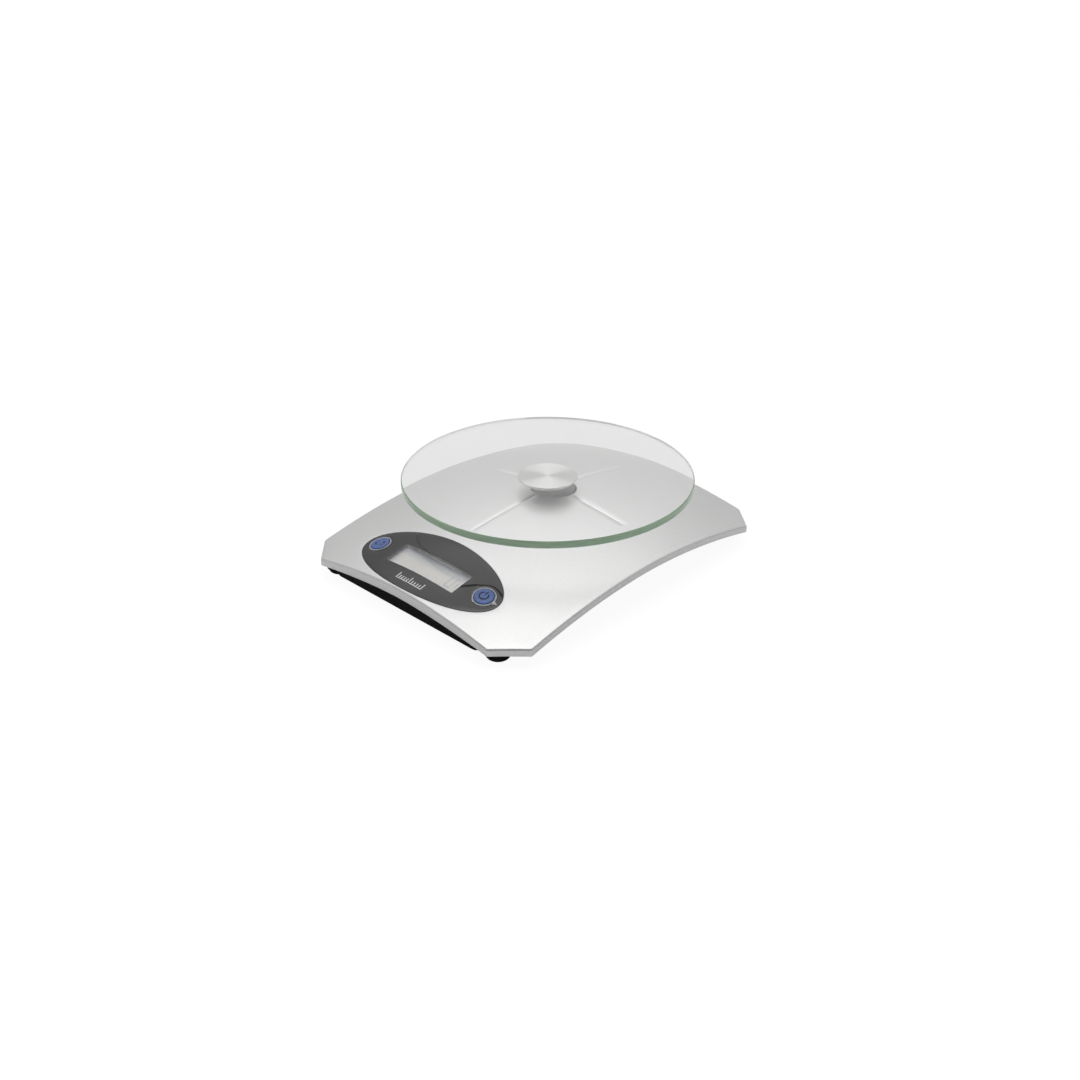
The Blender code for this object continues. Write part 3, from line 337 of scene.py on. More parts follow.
def around_axis(tree):
    """(distance from the piece's own Z axis, height) as a vector."""
    split = tree.nodes.new("ShaderNodeSeparateXYZ")
    link(position(tree), split.inputs[0])
    flat = tree.nodes.new("ShaderNodeCombineXYZ")
    link(split.outputs["X"], flat.inputs["X"])
    link(split.outputs["Y"], flat.inputs["Y"])
    length = tree.nodes.new("ShaderNodeVectorMath")
    length.operation = "LENGTH"
    link(flat.outputs[0], length.inputs[0])
    along = tree.nodes.new("ShaderNodeCombineXYZ")
    link(length.outputs["Value"], along.inputs["X"])
    link(split.outputs["Z"], along.inputs["Y"])
    return along.outputs[0]


def spun_metal(name, colour, roughness, anisotropy, groove):
    """Metal turned on a lathe: fine circular lines round the piece's own Z axis."""
    material, tree, shader = new_material(name)
    lines = noise(tree, 9000, 2.0, 0.7, source=around_axis(tree))
    tint = ramp(tree, lines, [(0.25, shade(colour, 0.92)), (0.75, shade(colour, 1.06))])
    link(tint, shader.inputs["Base Color"])
    gloss = ramp(tree, lines, [(0.2, roughness * 0.9), (0.8, roughness * 1.1)])
    link(gloss, shader.inputs["Roughness"])
    set_values(shader, {"Metallic": 1.0, "Anisotropic": anisotropy, "Anisotropic Rotation": ACROSS_THE_LINES})
    tangent = tree.nodes.new("ShaderNodeTangent")
    tangent.direction_type = "RADIAL"
    tangent.axis = "Z"
    link(tangent.outputs[0], shader.inputs["Tangent"])
    bump(tree, shader, lines, 0.4, groove)
    return material


def mix_surfaces(tree, share, one, two, output="Material Output"):
    """Shows two by the given share, and one by the rest."""
    mix = tree.nodes.new("ShaderNodeMixShader")
    link(share, mix.inputs["Fac"])
    link(one, mix.inputs[1])
    link(two, mix.inputs[2])
    link(mix.outputs["Shader"], tree.nodes[output].inputs["Surface"])


def pass_light(tree, solid):
    """Lets the light that falls on things behind the piece through it. solid is what the viewer sees."""
    path = tree.nodes.new("ShaderNodeLightPath")
    seen = tree.nodes.new("ShaderNodeMath")
    seen.operation = "MAXIMUM"
    link(path.outputs["Is Camera Ray"], seen.inputs[0])
    link(path.outputs["Is Transmission Ray"], seen.inputs[1])
    opening = tree.nodes.new("ShaderNodeBsdfTransparent")
    mix_surfaces(tree, seen.outputs[0], opening.outputs[0], solid)


def clear_glass():
    material, tree, shader = new_material("clear_glass")
    vary(tree, shader, "Base Color", noise(tree, 12), (0.982, 0.988, 0.982), (0.988, 0.993, 0.988))
    set_values(shader, {"Roughness": 0.0, "Transmission Weight": 1.0, "IOR": GLASS_IOR})
    pass_light(tree, shader.outputs["BSDF"])
    return material


def glass_edge():
    """Polished edge of the plate: green from outside, where its colour adds up, and clear from inside."""
    material, tree, polished = new_material("glass_edge")
    streaks = noise(tree, 90, 3.0, 0.6, stretch=(1, 1, 14))
    vary(tree, polished, "Base Color", streaks, (0.290, 0.450, 0.290), (0.400, 0.570, 0.400))
    vary(tree, polished, "Roughness", noise(tree, 400), 0.10, 0.18)
    set_values(polished, {"IOR": GLASS_IOR, "Coat Weight": 0.6, "Coat Roughness": 0.08})
    inside = tree.nodes.new("ShaderNodeBsdfPrincipled")
    set_values(inside, {"Base Color": (0.86, 0.88, 0.86, 1.0), "Roughness": 0.6, "Alpha": 0.25})
    side = tree.nodes.new("ShaderNodeNewGeometry")
    mix_surfaces(tree, side.outputs["Backfacing"], polished.outputs["BSDF"], inside.outputs[0])
    return material


def clear_plastic(name, tint, roughness, weight):
    material, tree, shader = new_material(name)
    vary(tree, shader, "Base Color", noise(tree, 300), shade(tint, 0.97), tint)
    set_values(shader, {"Roughness": roughness, "Transmission Weight": weight, "IOR": ACRYLIC_IOR})
    return material


def smoked_panel():
    """Glossy dark lens: deep charcoal print under polished acrylic."""
    material, tree, shader = new_material("smoked_panel")
    vary(tree, shader, "Base Color", noise(tree, 25), (0.017, 0.015, 0.017), (0.023, 0.021, 0.024))
    vary(tree, shader, "Roughness", noise(tree, 80), 0.04, 0.07)
    shader.inputs["IOR"].default_value = 1.6
    return material


def remapped(tree, source, before, after=(0.0, 1.0)):
    """Node that moves the source's values from one range to another, and keeps them within it."""
    node = tree.nodes.new("ShaderNodeMapRange")
    set_values(node, dict(zip(("From Min", "From Max", "To Min", "To Max"), (*before, *after))))
    link(source, node.inputs["Value"])
    return node


def share_along(tree, axis, start, end):
    """0 to 1 between two places on one of the piece's own axes."""
    split = tree.nodes.new("ShaderNodeSeparateXYZ")
    link(position(tree), split.inputs[0])
    return remapped(tree, split.outputs[axis], (start, end)).outputs["Result"]


def battery_sleeve():
    """Printed sleeve: a coppery band at the positive end and a dark body, without any lettering."""
    material, tree, shader = new_material("battery_sleeve")
    along = share_along(tree, "X", -BATTERY_HALF, BATTERY_HALF)
    stops = [(0.0, (0.05, 0.06, 0.08)), (0.66, (0.06, 0.07, 0.09))]
    stops += [(0.68, (0.50, 0.27, 0.12)), (1.0, (0.55, 0.30, 0.14))]
    link(ramp(tree, along, stops), shader.inputs["Base Color"])
    vary(tree, shader, "Roughness", noise(tree, 500), 0.26, 0.34)
    shader.inputs["Metallic"].default_value = 0.45
    return material


def circuit_board():
    """Green solder mask over faint copper tracks."""
    material, tree, shader = new_material("green_board")
    bricks = tree.nodes.new("ShaderNodeTexBrick")
    set_values(bricks, {"Scale": 260, "Mortar Size": 0.05, "Mortar": (0.035, 0.260, 0.110, 1)})
    set_values(bricks, {"Color1": (0.012, 0.150, 0.060, 1), "Color2": (0.016, 0.175, 0.072, 1)})
    link(position(tree), bricks.inputs["Vector"])
    link(bricks.outputs["Color"], shader.inputs["Base Color"])
    vary(tree, shader, "Roughness", noise(tree, 300), 0.32, 0.42)
    return material


# Slots with a mottled look: name, colour, its spread, scale, roughness, then grain, metallic and specular.
MOTTLED_SLOTS = (
    ("black_plastic", (0.009, 0.0085, 0.0085), 0.12, 90, 0.55, 0.02 * MM, 0.0, 0.06),
    ("black_rubber", (0.014, 0.0135, 0.0135), 0.12, 150, 0.75, 0.03 * MM, 0.0, 0.08),
    ("white_plastic", (0.74, 0.74, 0.72), 0.03, 150, 0.45, 0.01 * MM),
    ("blue_plastic", (0.085, 0.155, 0.420), 0.10, 500, 0.28, 0.008 * MM),
    ("black_epoxy", (0.010, 0.010, 0.010), 0.15, 250, 0.22),
    ("grey_silicone", (0.30, 0.30, 0.32), 0.08, 300, 0.60, 0.01 * MM),
    ("white_silicone", (0.80, 0.80, 0.77), 0.05, 250, 0.50, 0.02 * MM),
    ("aluminium", (0.70, 0.71, 0.72), 0.05, 200, 0.34, 0.006 * MM, 1.0),
    ("red_insulation", (0.42, 0.018, 0.016), 0.08, 400, 0.38),
    ("black_insulation", (0.013, 0.013, 0.013), 0.10, 400, 0.40),
    ("grey_insulation", (0.34, 0.34, 0.35), 0.06, 400, 0.45),
    ("lcd_glass", (0.52, 0.54, 0.50), 0.03, 60, 0.20),
)


def slot_materials():
    """One procedural material for each of the record's slots that a CAD node still shows."""
    return {
        **{look[0]: mottled(*look) for look in MOTTLED_SLOTS},
        "silver_paint": silver_paint(),
        "steel": spun_metal("steel", (0.56, 0.56, 0.57), 0.30, 0.3, 0.004 * MM),
        "dark_metal": spun_metal("dark_metal", (0.12, 0.12, 0.115), 0.30, 0.3, 0.004 * MM),
        "spun_metal": spun_metal("spun_metal", (0.78, 0.785, 0.76), 0.33, 1.0, 0.003 * MM),
        "smoked_panel": smoked_panel(),
        "clear_plastic": clear_plastic("clear_plastic", (0.86, 0.87, 0.90), 0.12, 0.35),
        "clear_glass": clear_glass(),
        "green_board": circuit_board(),
        "battery_label": battery_sleeve(),
    }


def dress_cad_nodes(materials):
    """Every CAD node takes its slot's procedural material in place of the plain packed one."""
    for part in frame["record"]["subparts"]:
        mesh = frame["nodes"][part["node"]].data
        mesh.materials.clear()
        mesh.materials.append(materials[part["material_slot"]])


# ---- mesh helpers


def finish_mesh(name, bm, material, smooth=35, weld=1e-7, matrix=None):
    """Links the mesh as an object. matrix places a mesh that was made in its own coordinates."""
    bmesh.ops.remove_doubles(bm, verts=bm.verts, dist=weld)
    bmesh.ops.recalc_face_normals(bm, faces=bm.faces)
    mesh = bpy.data.meshes.new(name)
    bm.to_mesh(mesh)
    bm.free()
    mesh.shade_smooth()
    mesh.set_sharp_from_angle(angle=math.radians(smooth))
    materials = material if isinstance(material, list) else [material]
    for item in materials:
        mesh.materials.append(item)
    piece = bpy.data.objects.new(name, mesh)
    bpy.context.scene.collection.objects.link(piece)
    if matrix:
        piece.matrix_world = matrix
    return piece


def strip(bm, rings):
    """Joins closed rings of equally many points with quads."""
    made = [[bm.verts.new(point) for point in ring] for ring in rings]
    count = len(made[0])
    for one, two in zip(made, made[1:]):
        for i in range(count):
            k = (i + 1) % count
            bm.faces.new((one[i], one[k], two[k], two[i]))
    return made


def inside(point, outline):
    odd = False
    for i, (x1, y1) in enumerate(outline):
        x2, y2 = outline[i - 1]
        if (y1 > point[1]) != (y2 > point[1]):
            if point[0] < (x2 - x1) * (point[1] - y1) / (y2 - y1) + x1:
                odd = not odd
    return odd


def grid_points(outer, holes, taken, spacing):
    """Points of a square grid inside an outline with holes, away from the points already taken."""

    def cell_of(point):
        return math.floor(point.x / spacing), math.floor(point.y / spacing)

    cells = {}
    for point in taken:
        cells.setdefault(cell_of(point), []).append(point)
    low_x, high_x = min(p[0] for p in outer), max(p[0] for p in outer)
    low_y, high_y = min(p[1] for p in outer), max(p[1] for p in outer)
    points = []
    for i in range(math.ceil((high_x - low_x) / spacing)):
        for k in range(math.ceil((high_y - low_y) / spacing)):
            spot = Vector((low_x + (i + 0.5) * spacing, low_y + (k + 0.5) * spacing))
            column, row = cell_of(spot)
            around = [(column + a, row + b) for a in (-1, 0, 1) for b in (-1, 0, 1)]
            if any((spot - p).length < spacing * 0.5 for cell in around for p in cells.get(cell, [])):
                continue
            if inside(spot, outer) and not any(inside(spot, hole) for hole in holes):
                points.append(spot)
    return points


def sheet(bm, outer, holes, height, spacing, lines=()):
    """Triangulated surface z = height(x, y) over an outline with holes, with lines as edges."""
    points = []
    edges = []
    for loop in [outer, *holes]:
        start = len(points)
        points += [Vector(p) for p in loop]
        edges += [(start + i, start + (i + 1) % len(loop)) for i in range(len(loop))]
    for line in lines:
        start = len(points)
        points += [Vector(p) for p in line]
        edges += [(start + i, start + i + 1) for i in range(len(line) - 1)]
    points += grid_points(outer, holes, points, spacing)
    flat, _, faces, *_ = delaunay_2d_cdt(points, edges, [list(range(len(outer)))], 1, 1e-8)
    verts = [bm.verts.new((p.x, p.y, height(p.x, p.y))) for p in flat]
    for face in faces:
        middle = sum((flat[i] for i in face), Vector((0, 0))) / len(face)
        if not any(inside(middle, hole) for hole in holes):
            bm.faces.new([verts[i] for i in face])


def lathe(profile, segments=96, looped=False, centre=(0.0, 0.0), bm=None):
    """Solid of revolution about an upright axis. profile is (radius, z) points."""
    bm = bm or bmesh.new()
    rows = profile + [profile[0]] if looped else profile
    strip(bm, [[(x, y, z) for x, y in circle(centre, radius, segments)] for radius, z in rows])
    bmesh.ops.remove_doubles(bm, verts=bm.verts, dist=1e-8)
    bmesh.ops.dissolve_degenerate(bm, dist=1e-8, edges=bm.edges)
    return bm


def fillet(corner, start, end, radius, steps=5):
    """Points of a rounding of radius at corner, between the directions to start and end."""
    corner, start, end = Vector(corner), Vector(start), Vector(end)
    first = (start - corner).normalized()
    last = (end - corner).normalized()
    half = first.angle(last) / 2
    centre = corner + (first + last).normalized() * (radius / math.sin(half))
    reach = radius / math.tan(half)
    a = corner + first * reach - centre
    b = corner + last * reach - centre
    turn = a.angle(b)
    points = []
    for k in range(steps + 1):
        t = k / steps
        offset = (a * math.sin((1 - t) * turn) + b * math.sin(t * turn)) / math.sin(turn)
        points.append(tuple(centre + offset))
    return points


def softened(profile, radii, steps=5, looped=False):
    """Profile with its corners rounded. radii has one radius for each point, 0 for a sharp one."""
    result = []
    count = len(profile)
    for i, (point, radius) in enumerate(zip(profile, radii)):
        if radius and (looped or 0 < i < count - 1):
            result += fillet(point, profile[i - 1], profile[(i + 1) % count], radius, steps)
        else:
            result.append(tuple(point))
    return result


def add_box(bm, low, high):
    made = bmesh.ops.create_cube(bm, size=1.0)["verts"]
    size = [b - a for a, b in zip(low, high)]
    middle = [(a + b) / 2 for a, b in zip(low, high)]
    bmesh.ops.scale(bm, vec=size, verts=made)
    bmesh.ops.translate(bm, vec=middle, verts=made)


# ---- the body's surfaces


def dome(x, y):
    side = abs(x / HALF_WIDTH) ** SIDE_POWER
    end = abs(y / HALF_LENGTH) ** END_POWER
    return CREST_Z - SIDE_DROP * side - END_DROP * end


def rim_bottom(x, y):
    middle = max(0.0, 1 - (x / RIM_END_HALF) ** 2)
    end = (y / HALF_LENGTH) ** 4
    return dome(x, y) - RIM_HEIGHT - RIM_END_EXTRA * middle * end


def crease_shape(t):
    """Share of the full width and depth at t along a crease: it opens at once and tapers away."""
    return 1.6 * t**0.25 * math.sqrt(1 - t) if 0 < t < 1 else 0.0


def crease_dip(x, y):
    dip = 0.0
    dx, dy = x - POST_FOOT.x, y - POST_FOOT.y
    for (way_x, way_y), length in CREASES.values():
        along = dx * way_x + dy * way_y
        across = abs(-dx * way_y + dy * way_x)
        share = crease_shape((along - CREASE_START) / (length - CREASE_START))
        half = CREASE_HALF * share
        if half > 0 and across < half:
            dip = CREASE_DEPTH * share * (1 - across / half)
    return dip


def crease_lines():
    lines = []
    for (way_x, way_y), length in CREASES.values():
        for offset in (-1.0, -0.5, 0.0, 0.5, 1.0):
            line = []
            steps = range(CREASE_STEPS + 1) if offset == 0.0 else range(1, CREASE_STEPS)
            for k in steps:
                t = k / CREASE_STEPS
                along = CREASE_START + (length - CREASE_START) * t
                across = offset * CREASE_HALF * crease_shape(t)
                x = POST_FOOT.x + along * way_x - across * way_y
                line.append((x, POST_FOOT.y + along * way_y + across * way_x))
            lines.append(line)
    return lines


def dent(x, y):
    away = math.dist((x, y), DENT_PLACE) / DENT_RADIUS
    return DENT_DEPTH * math.cos(away * math.pi / 2) ** 2 if away < 1 else 0.0


def dent_lines():
    rings = [circle(DENT_PLACE, DENT_RADIUS * k / 4, 16) for k in (1, 2, 3, 4)]
    return [ring + [ring[0]] for ring in rings]


def cover_top(x, y):
    return dome(x, y) - crease_dip(x, y) - dent(x, y)


def divided(start, end, count):
    """Points between start and end that cut the way into count equal parts."""
    shares = [k / count for k in range(1, count)]
    return [(start[0] + (end[0] - start[0]) * t, start[1] + (end[1] - start[1]) * t) for t in shares]


def body_outline(inset):
    """Outline moved inwards by inset, with rounded corners; always with the same number of points."""
    half_x = HALF_WIDTH - inset
    half_y = HALF_LENGTH - inset
    cut_x = CORNER_CUT_X - CORNER_INSET_SHARE * inset
    cut_y = CORNER_CUT_Y - CORNER_INSET_SHARE * inset
    quarter = [(half_x, half_y - cut_y), (half_x - cut_x, half_y)]
    right = [(x, -y) for x, y in reversed(quarter)] + quarter
    corners = right + [(-x, -y) for x, y in right]
    radius = max(CORNER_ROUND - inset, 0.3 * MM)
    arcs = [fillet(c, corners[i - 1], corners[(i + 1) % 8], radius, 5) for i, c in enumerate(corners)]
    points = []
    for i, arc in enumerate(arcs):
        points += arc + divided(arc[-1], arcs[(i + 1) % 8][0], SIDE_COUNTS[i % 4])
    return points


def oval(grow):
    turns = [FULL_TURN * i / 120 for i in range(120)]
    half_u = PANEL_HALF_U + grow
    half_v = PANEL_HALF_V + grow
    return [(half_u * math.cos(t), PANEL_Y + half_v * math.sin(t)) for t in turns]


def circle(centre, radius, count=72):
    turns = [FULL_TURN * i / count for i in range(count)]
    return [(centre[0] + radius * math.cos(t), centre[1] + radius * math.sin(t)) for t in turns]


def raised(outline, height):
    return [(x, y, height(x, y)) for x, y in outline]


def below(depth, surface=dome):
    return lambda x, y: surface(x, y) - depth


def above_rim(depth):
    return lambda x, y: rim_bottom(x, y) + depth


# ---- the display's own plane


def display_frame():
    step = 1 * MM
    rise = (dome(0, DISPLAY_Y + step) - dome(0, DISPLAY_Y - step)) / (2 * step)
    tilt = Matrix.Rotation(math.atan(rise), 4, "X")
    return Matrix.Translation((0, DISPLAY_Y, dome(0, DISPLAY_Y))) @ tilt


DISPLAY = display_frame()


def surface_height(u, v):
    """Height of the dome over a point of the display's plane, closed in on step by step."""
    height = 0.0
    for _ in range(6):
        point = DISPLAY @ Vector((u, v, height))
        height += (dome(point.x, point.y) - point.z) * DISPLAY[2][2]
    return height


def in_plan(u, v):
    """Plan position of the dome's point over (u, v) of the display's plane."""
    point = DISPLAY @ Vector((u, v, surface_height(u, v)))
    return (point.x, point.y)


def rounded_rectangle(half_u, half_v, radius, spacing=2 * MM):
    """Rounded rectangle round the window's middle, as (u, v) points."""
    corners = [(half_u, -half_v), (half_u, half_v), (-half_u, half_v), (-half_u, -half_v)]
    arcs = [fillet(c, corners[i - 1], corners[(i + 1) % 4], radius, 4) for i, c in enumerate(corners)]
    points = []
    for i, arc in enumerate(arcs):
        length = half_v * 2 if i % 2 == 0 else half_u * 2
        points += arc + divided(arc[-1], arcs[(i + 1) % 4][0], max(2, round(length / spacing)))
    return [(u + WINDOW_U, v + WINDOW_V) for u, v in points]


def window_plan(half_u, half_v, radius):
    return [in_plan(u, v) for u, v in rounded_rectangle(half_u, half_v, radius)]


def button_circle(side, radius):
    return [in_plan(side * BUTTON_U + u, BUTTON_V + v) for u, v in circle((0, 0), radius, 64)]


def ribbon(bm, path, half, height, thick, closed=False):
    """Raised flat line along (u, v) points. height gives the surface it lies on."""
    count = len(path)
    rows = []
    for i, (u, v) in enumerate(path):
        after = path[(i + 1) % count] if closed else path[min(i + 1, count - 1)]
        before = path[i - 1] if closed or i else path[0]
        way = (Vector(after) - Vector(before)).normalized()
        side = Vector((-way.y, way.x)) * half
        left, right = Vector((u, v)) + side, Vector((u, v)) - side
        low, high = height(u, v) - thick, height(u, v) + thick
        section = ((left, low), (right, low), (right, high), (left, high))
        rows.append([bm.verts.new((*p, z)) for p, z in section])
    for one, two in zip(rows, rows[1:] + rows[:1] if closed else rows[1:]):
        for k in range(4):
            bm.faces.new((one[k], one[k - 1], two[k - 1], two[k]))
    if not closed:
        bm.faces.new(rows[0])
        bm.faces.new(rows[-1])


# ---- body pieces


def keep(piece, body, slot, *nodes):
    """The piece rides on a body and stands for CAD nodes, which it hides. slot is not used."""
    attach(piece, body)
    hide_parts(*nodes)


def quarter_round(radius, steps):
    """(inset, drop) along a quarter circle, from a flat top into a wall."""
    turns = [math.pi / 2 * k / steps for k in range(steps + 1)]
    return [(radius * (1 - math.sin(a)), radius * (1 - math.cos(a))) for a in turns]


def rounded_lip(loop, bottom):
    """Rings that roll from the cover's top into a hole's wall. loop maps an outward shift to an outline."""
    rings = [raised(loop(shift), below(drop)) for shift, drop in quarter_round(LIP_ROUND, 4)]
    return rings + [raised(loop(0), bottom)]


def rim_rings():
    """Rings down the outside of the cover: a crisp chamfer, the rim's wall and its rounded lower edge."""

    def wall(share):
        top, bottom = below(RIM_CHAMFER), above_rim(RIM_LOW_ROUND)
        return lambda x, y: top(x, y) * (1 - share) + bottom(x, y) * share

    small = RIM_CRISP * 0.3
    rings = [
        raised(body_outline(RIM_CHAMFER + RIM_CRISP), dome),
        raised(body_outline(RIM_CHAMFER - small), below(small)),
        raised(body_outline(RIM_CRISP), below(RIM_CHAMFER - RIM_CRISP - small)),
        raised(body_outline(0), below(RIM_CHAMFER)),
    ]
    rings += [raised(body_outline(0), wall(share)) for share in (0.33, 0.66, 1.0)]
    for lift, inset in quarter_round(RIM_LOW_ROUND, 4)[1:]:
        rings.append(raised(body_outline(inset), above_rim(lift)))
    return rings


def build_cover(material):
    bm = bmesh.new()
    under = below(COVER_WALL)

    def post_hole(grow):
        return circle(POST_FOOT, POST_HOLE + grow, 96)

    inner_wall = body_outline(RIM_WALL)
    strip(bm, [*rim_rings(), raised(inner_wall, rim_bottom), raised(inner_wall, under)])

    top = body_outline(RIM_CHAMFER + RIM_CRISP)
    holes = [oval(LIP_ROUND), post_hole(LIP_ROUND)]
    sheet(bm, top, holes, cover_top, SKIN_SPACING, crease_lines() + dent_lines())
    strip(bm, rounded_lip(post_hole, under))
    strip(bm, rounded_lip(oval, below(POCKET_DEPTH)))
    openings = [window_plan(OPENING_HALF_U, OPENING_HALF_V, WINDOW_CORNER)]
    openings += [button_circle(side, RING_INNER + 0.1 * MM) for side in (-1, 1)]
    sheet(bm, oval(0), openings, below(POCKET_DEPTH), 2 * SKIN_SPACING)
    for loop in openings:
        strip(bm, [raised(loop, below(POCKET_DEPTH)), raised(loop, under)])
    sheet(bm, inner_wall, openings + [post_hole(0)], under, 3 * SKIN_SPACING)
    cover = finish_mesh("cover", bm, material, smooth=30, weld=1e-6)
    keep(cover, "chassis", "silver_paint", "top_cover")


def foot_profile(tall):
    profile = [(0, RIDGE_HEIGHT)]
    for reach in RIDGE_REACHES:
        profile += [(reach - RIDGE_WIDTH - 0.2 * MM, RIDGE_HEIGHT), (reach - RIDGE_WIDTH, 0)]
        profile += [(reach, 0), (reach + 0.15 * MM, RIDGE_HEIGHT)]
    profile += [(FOOT_RADIUS - inset, rise) for inset, rise in quarter_round(FOOT_EDGE, 6)]
    return profile + [(FOOT_RADIUS, tall - FOOT_TOP_EDGE), (FOOT_RADIUS - FOOT_TOP_EDGE, tall), (0, tall)]


def build_feet(material):
    for name in FOOT_NAMES:
        low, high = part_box("foot_" + name)
        middle = (low + high) / 2
        profile = foot_profile(high.z - low.z)
        spot = Matrix.Translation((middle.x, middle.y, low.z))
        foot = finish_mesh("rubber_" + name, lathe(profile, 48), material, smooth=40, matrix=spot)
        keep(foot, "chassis", "black_rubber", "foot_" + name)


# ---- platform pieces


def build_glass(clear_glass):
    """Thick round plate with flat polished faces, small arrises and a green edge."""
    thick = GLASS_HIGH.z - GLASS_LOW.z
    edge = GLASS_EDGE
    radius = GLASS_RADIUS
    profile = [(0, 0), (radius * 0.5, 0), (radius - edge, 0), (radius, edge), (radius, thick * 0.5)]
    profile += [(radius, thick - edge), (radius - edge, thick), (radius * 0.5, thick), (0, thick)]
    spot = Matrix.Translation((PLATFORM.x, PLATFORM.y, GLASS_LOW.z))
    materials = [clear_glass, glass_edge()]
    glass = finish_mesh("glass_disc", lathe(profile, 192), materials, smooth=25, matrix=spot)
    for face in glass.data.polygons:
        if abs(face.normal.z) < 0.9:
            face.material_index = 1
    keep(glass, "platform", "clear_glass", "glass_platform")


def build_hub(material):
    """Dish with a bevelled edge, over the stud that goes into the post."""
    low, radius = HUB_LOW.z, HUB_RADIUS
    top = HUB_HIGH.z - low
    under = top - HUB_THICK
    profile = [(0, 0), (STUD_RADIUS, 0), (STUD_RADIUS, under), (HUB_LOW_RADIUS, under)]
    profile += [(radius, top - HUB_EDGE_DROP), (radius - HUB_EDGE_INSET, top)]
    profile += [(radius - 2.0 * MM, top), (radius * 0.5, top), (0.4 * MM, top), (0, top)]
    radii = [0, 0, 0.3 * MM, 0.35 * MM, 0.25 * MM, 0.25 * MM, 0, 0, 0, 0]
    spot = Matrix.Translation((PLATFORM.x, PLATFORM.y, low))
    hub = finish_mesh("hub", lathe(softened(profile, radii, 4), 128), material, smooth=30, matrix=spot)
    keep(hub, "platform", "spun_metal", "hub_disc")


def build_post(material):
    """Wide foot in the cover's hole, and the neck on it, which stands off the foot's middle."""
    low = POST_LOW.z
    top = POST_HIGH.z - low
    step = POST_FOOT_TOP - low
    foot = [(0, 0), (POST_FOOT_RADIUS, 0), (POST_FOOT_RADIUS, step), (0, step)]
    bm = lathe(softened(foot, [0, 0.2 * MM, 0.4 * MM, 0], 4), 96)
    bore = STUD_RADIUS + 0.3 * MM
    bore_floor = HUB_LOW.z - 0.3 * MM - low
    root = step - NECK_ROOT_DEPTH
    neck = [(0, root), (NECK_RADIUS + NECK_FLARE, root), (NECK_RADIUS + 0.7 * NECK_FLARE, step)]
    neck += [(NECK_RADIUS, step + 0.8 * MM), (NECK_RADIUS, top), (bore, top)]
    neck += [(bore, bore_floor), (0, bore_floor)]
    neck = softened(neck, [0, 0, 0, 0.5 * MM, 0.25 * MM, 0, 0, 0], 4)
    lathe(neck, 80, centre=PLATFORM - POST_FOOT, bm=bm)
    spot = Matrix.Translation((POST_FOOT.x, POST_FOOT.y, low))
    post = finish_mesh("post", bm, material, smooth=30, matrix=spot)
    keep(post, "platform", "dark_metal", "hub_post")


# ---- display pieces


def plate(name, outer, holes, faces, edge, material):
    """Closed plate with softened upper edges. outer and holes map a shift into the material to a loop."""
    bm = bmesh.new()
    top, bottom = faces
    for loop in [outer, *holes]:
        rings = [raised(loop(shift), below(drop, top)) for shift, drop in quarter_round(edge, 3)]
        strip(bm, rings + [raised(loop(0), bottom)])
    sheet(bm, outer(edge), [hole(edge) for hole in holes], top, PLATE_SPACING)
    sheet(bm, outer(0), [hole(0) for hole in holes], bottom, PLATE_SPACING * 2)
    return finish_mesh(name, bm, material, smooth=40, weld=1e-6)


def build_panel(smoked_panel):
    def window(grow):
        return window_plan(WINDOW_HALF_U + grow, WINDOW_HALF_V + grow, WINDOW_CORNER + grow)

    def pane_outline(shift):
        reach = PANE_LAP - shift
        return window_plan(WINDOW_HALF_U + reach, WINDOW_HALF_V + reach, WINDOW_CORNER)

    def button_hole(side):
        return lambda grow: button_circle(side, RING_OUTER + RING_GAP + grow)

    def panel_outline(shift):
        return oval(-PANEL_GAP - shift)

    holes = [window, button_hole(-1), button_hole(1)]
    panel = plate("display_lens", panel_outline, holes, (dome, below(PANEL_THICK)), 0.15 * MM, smoked_panel)
    keep(panel, "chassis", "smoked_panel", "display_panel")
    clear = clear_plastic("window_clear", (0.98, 0.98, 0.985), 0.0, 1.0)
    pass_light(clear.node_tree, clear.node_tree.nodes["Principled BSDF"].outputs["BSDF"])
    pane = plate("display_window", pane_outline, [], (below(PANE_TOP), below(PANE_BOTTOM)), 0.05 * MM, clear)
    keep(pane, "chassis", "smoked_panel", "display_panel")


def build_print_and_edge_highlight():
    """White graduated scale under the window, and the pale line round the window, which is a painted
    highlight on the window's edge.
    """
    bm = bmesh.new()
    for k in range(TICKS):
        u = TICK_START + TICK_STEP * k
        tip = TICK_FOOT + (TICK_TALL if k % 5 == 0 else TICK_SHORT)
        ribbon(bm, [(u, TICK_FOOT), (u, tip)], TICK_HALF, surface_height, PRINT_THICK)
    base = [(BASE_START + BASE_STEP * k, BASE_V) for k in range(TICKS)]
    ribbon(bm, base, BASE_HALF, surface_height, PRINT_THICK)
    white = mottled("print_white", (0.80, 0.80, 0.79), 0.03, 400, 0.45)
    keep(finish_mesh("display_print", bm, white, matrix=DISPLAY), "chassis", "smoked_panel")

    # Painted highlight: a pale grey line on the window's rounded edge, standing in for the light that edge
    # catches.
    bm = bmesh.new()
    half_u, half_v = WINDOW_HALF_U + LINE_GAP, WINDOW_HALF_V + LINE_GAP
    loop = rounded_rectangle(half_u, half_v, WINDOW_CORNER + LINE_GAP, spacing=1 * MM)
    ribbon(bm, loop, LINE_HALF, surface_height, PRINT_THICK, closed=True)
    pale = mottled("painted_edge_highlight", (0.42, 0.42, 0.43), 0.03, 400, 0.40)
    keep(finish_mesh("window_edge_highlight", bm, pale, matrix=DISPLAY), "chassis", "smoked_panel")


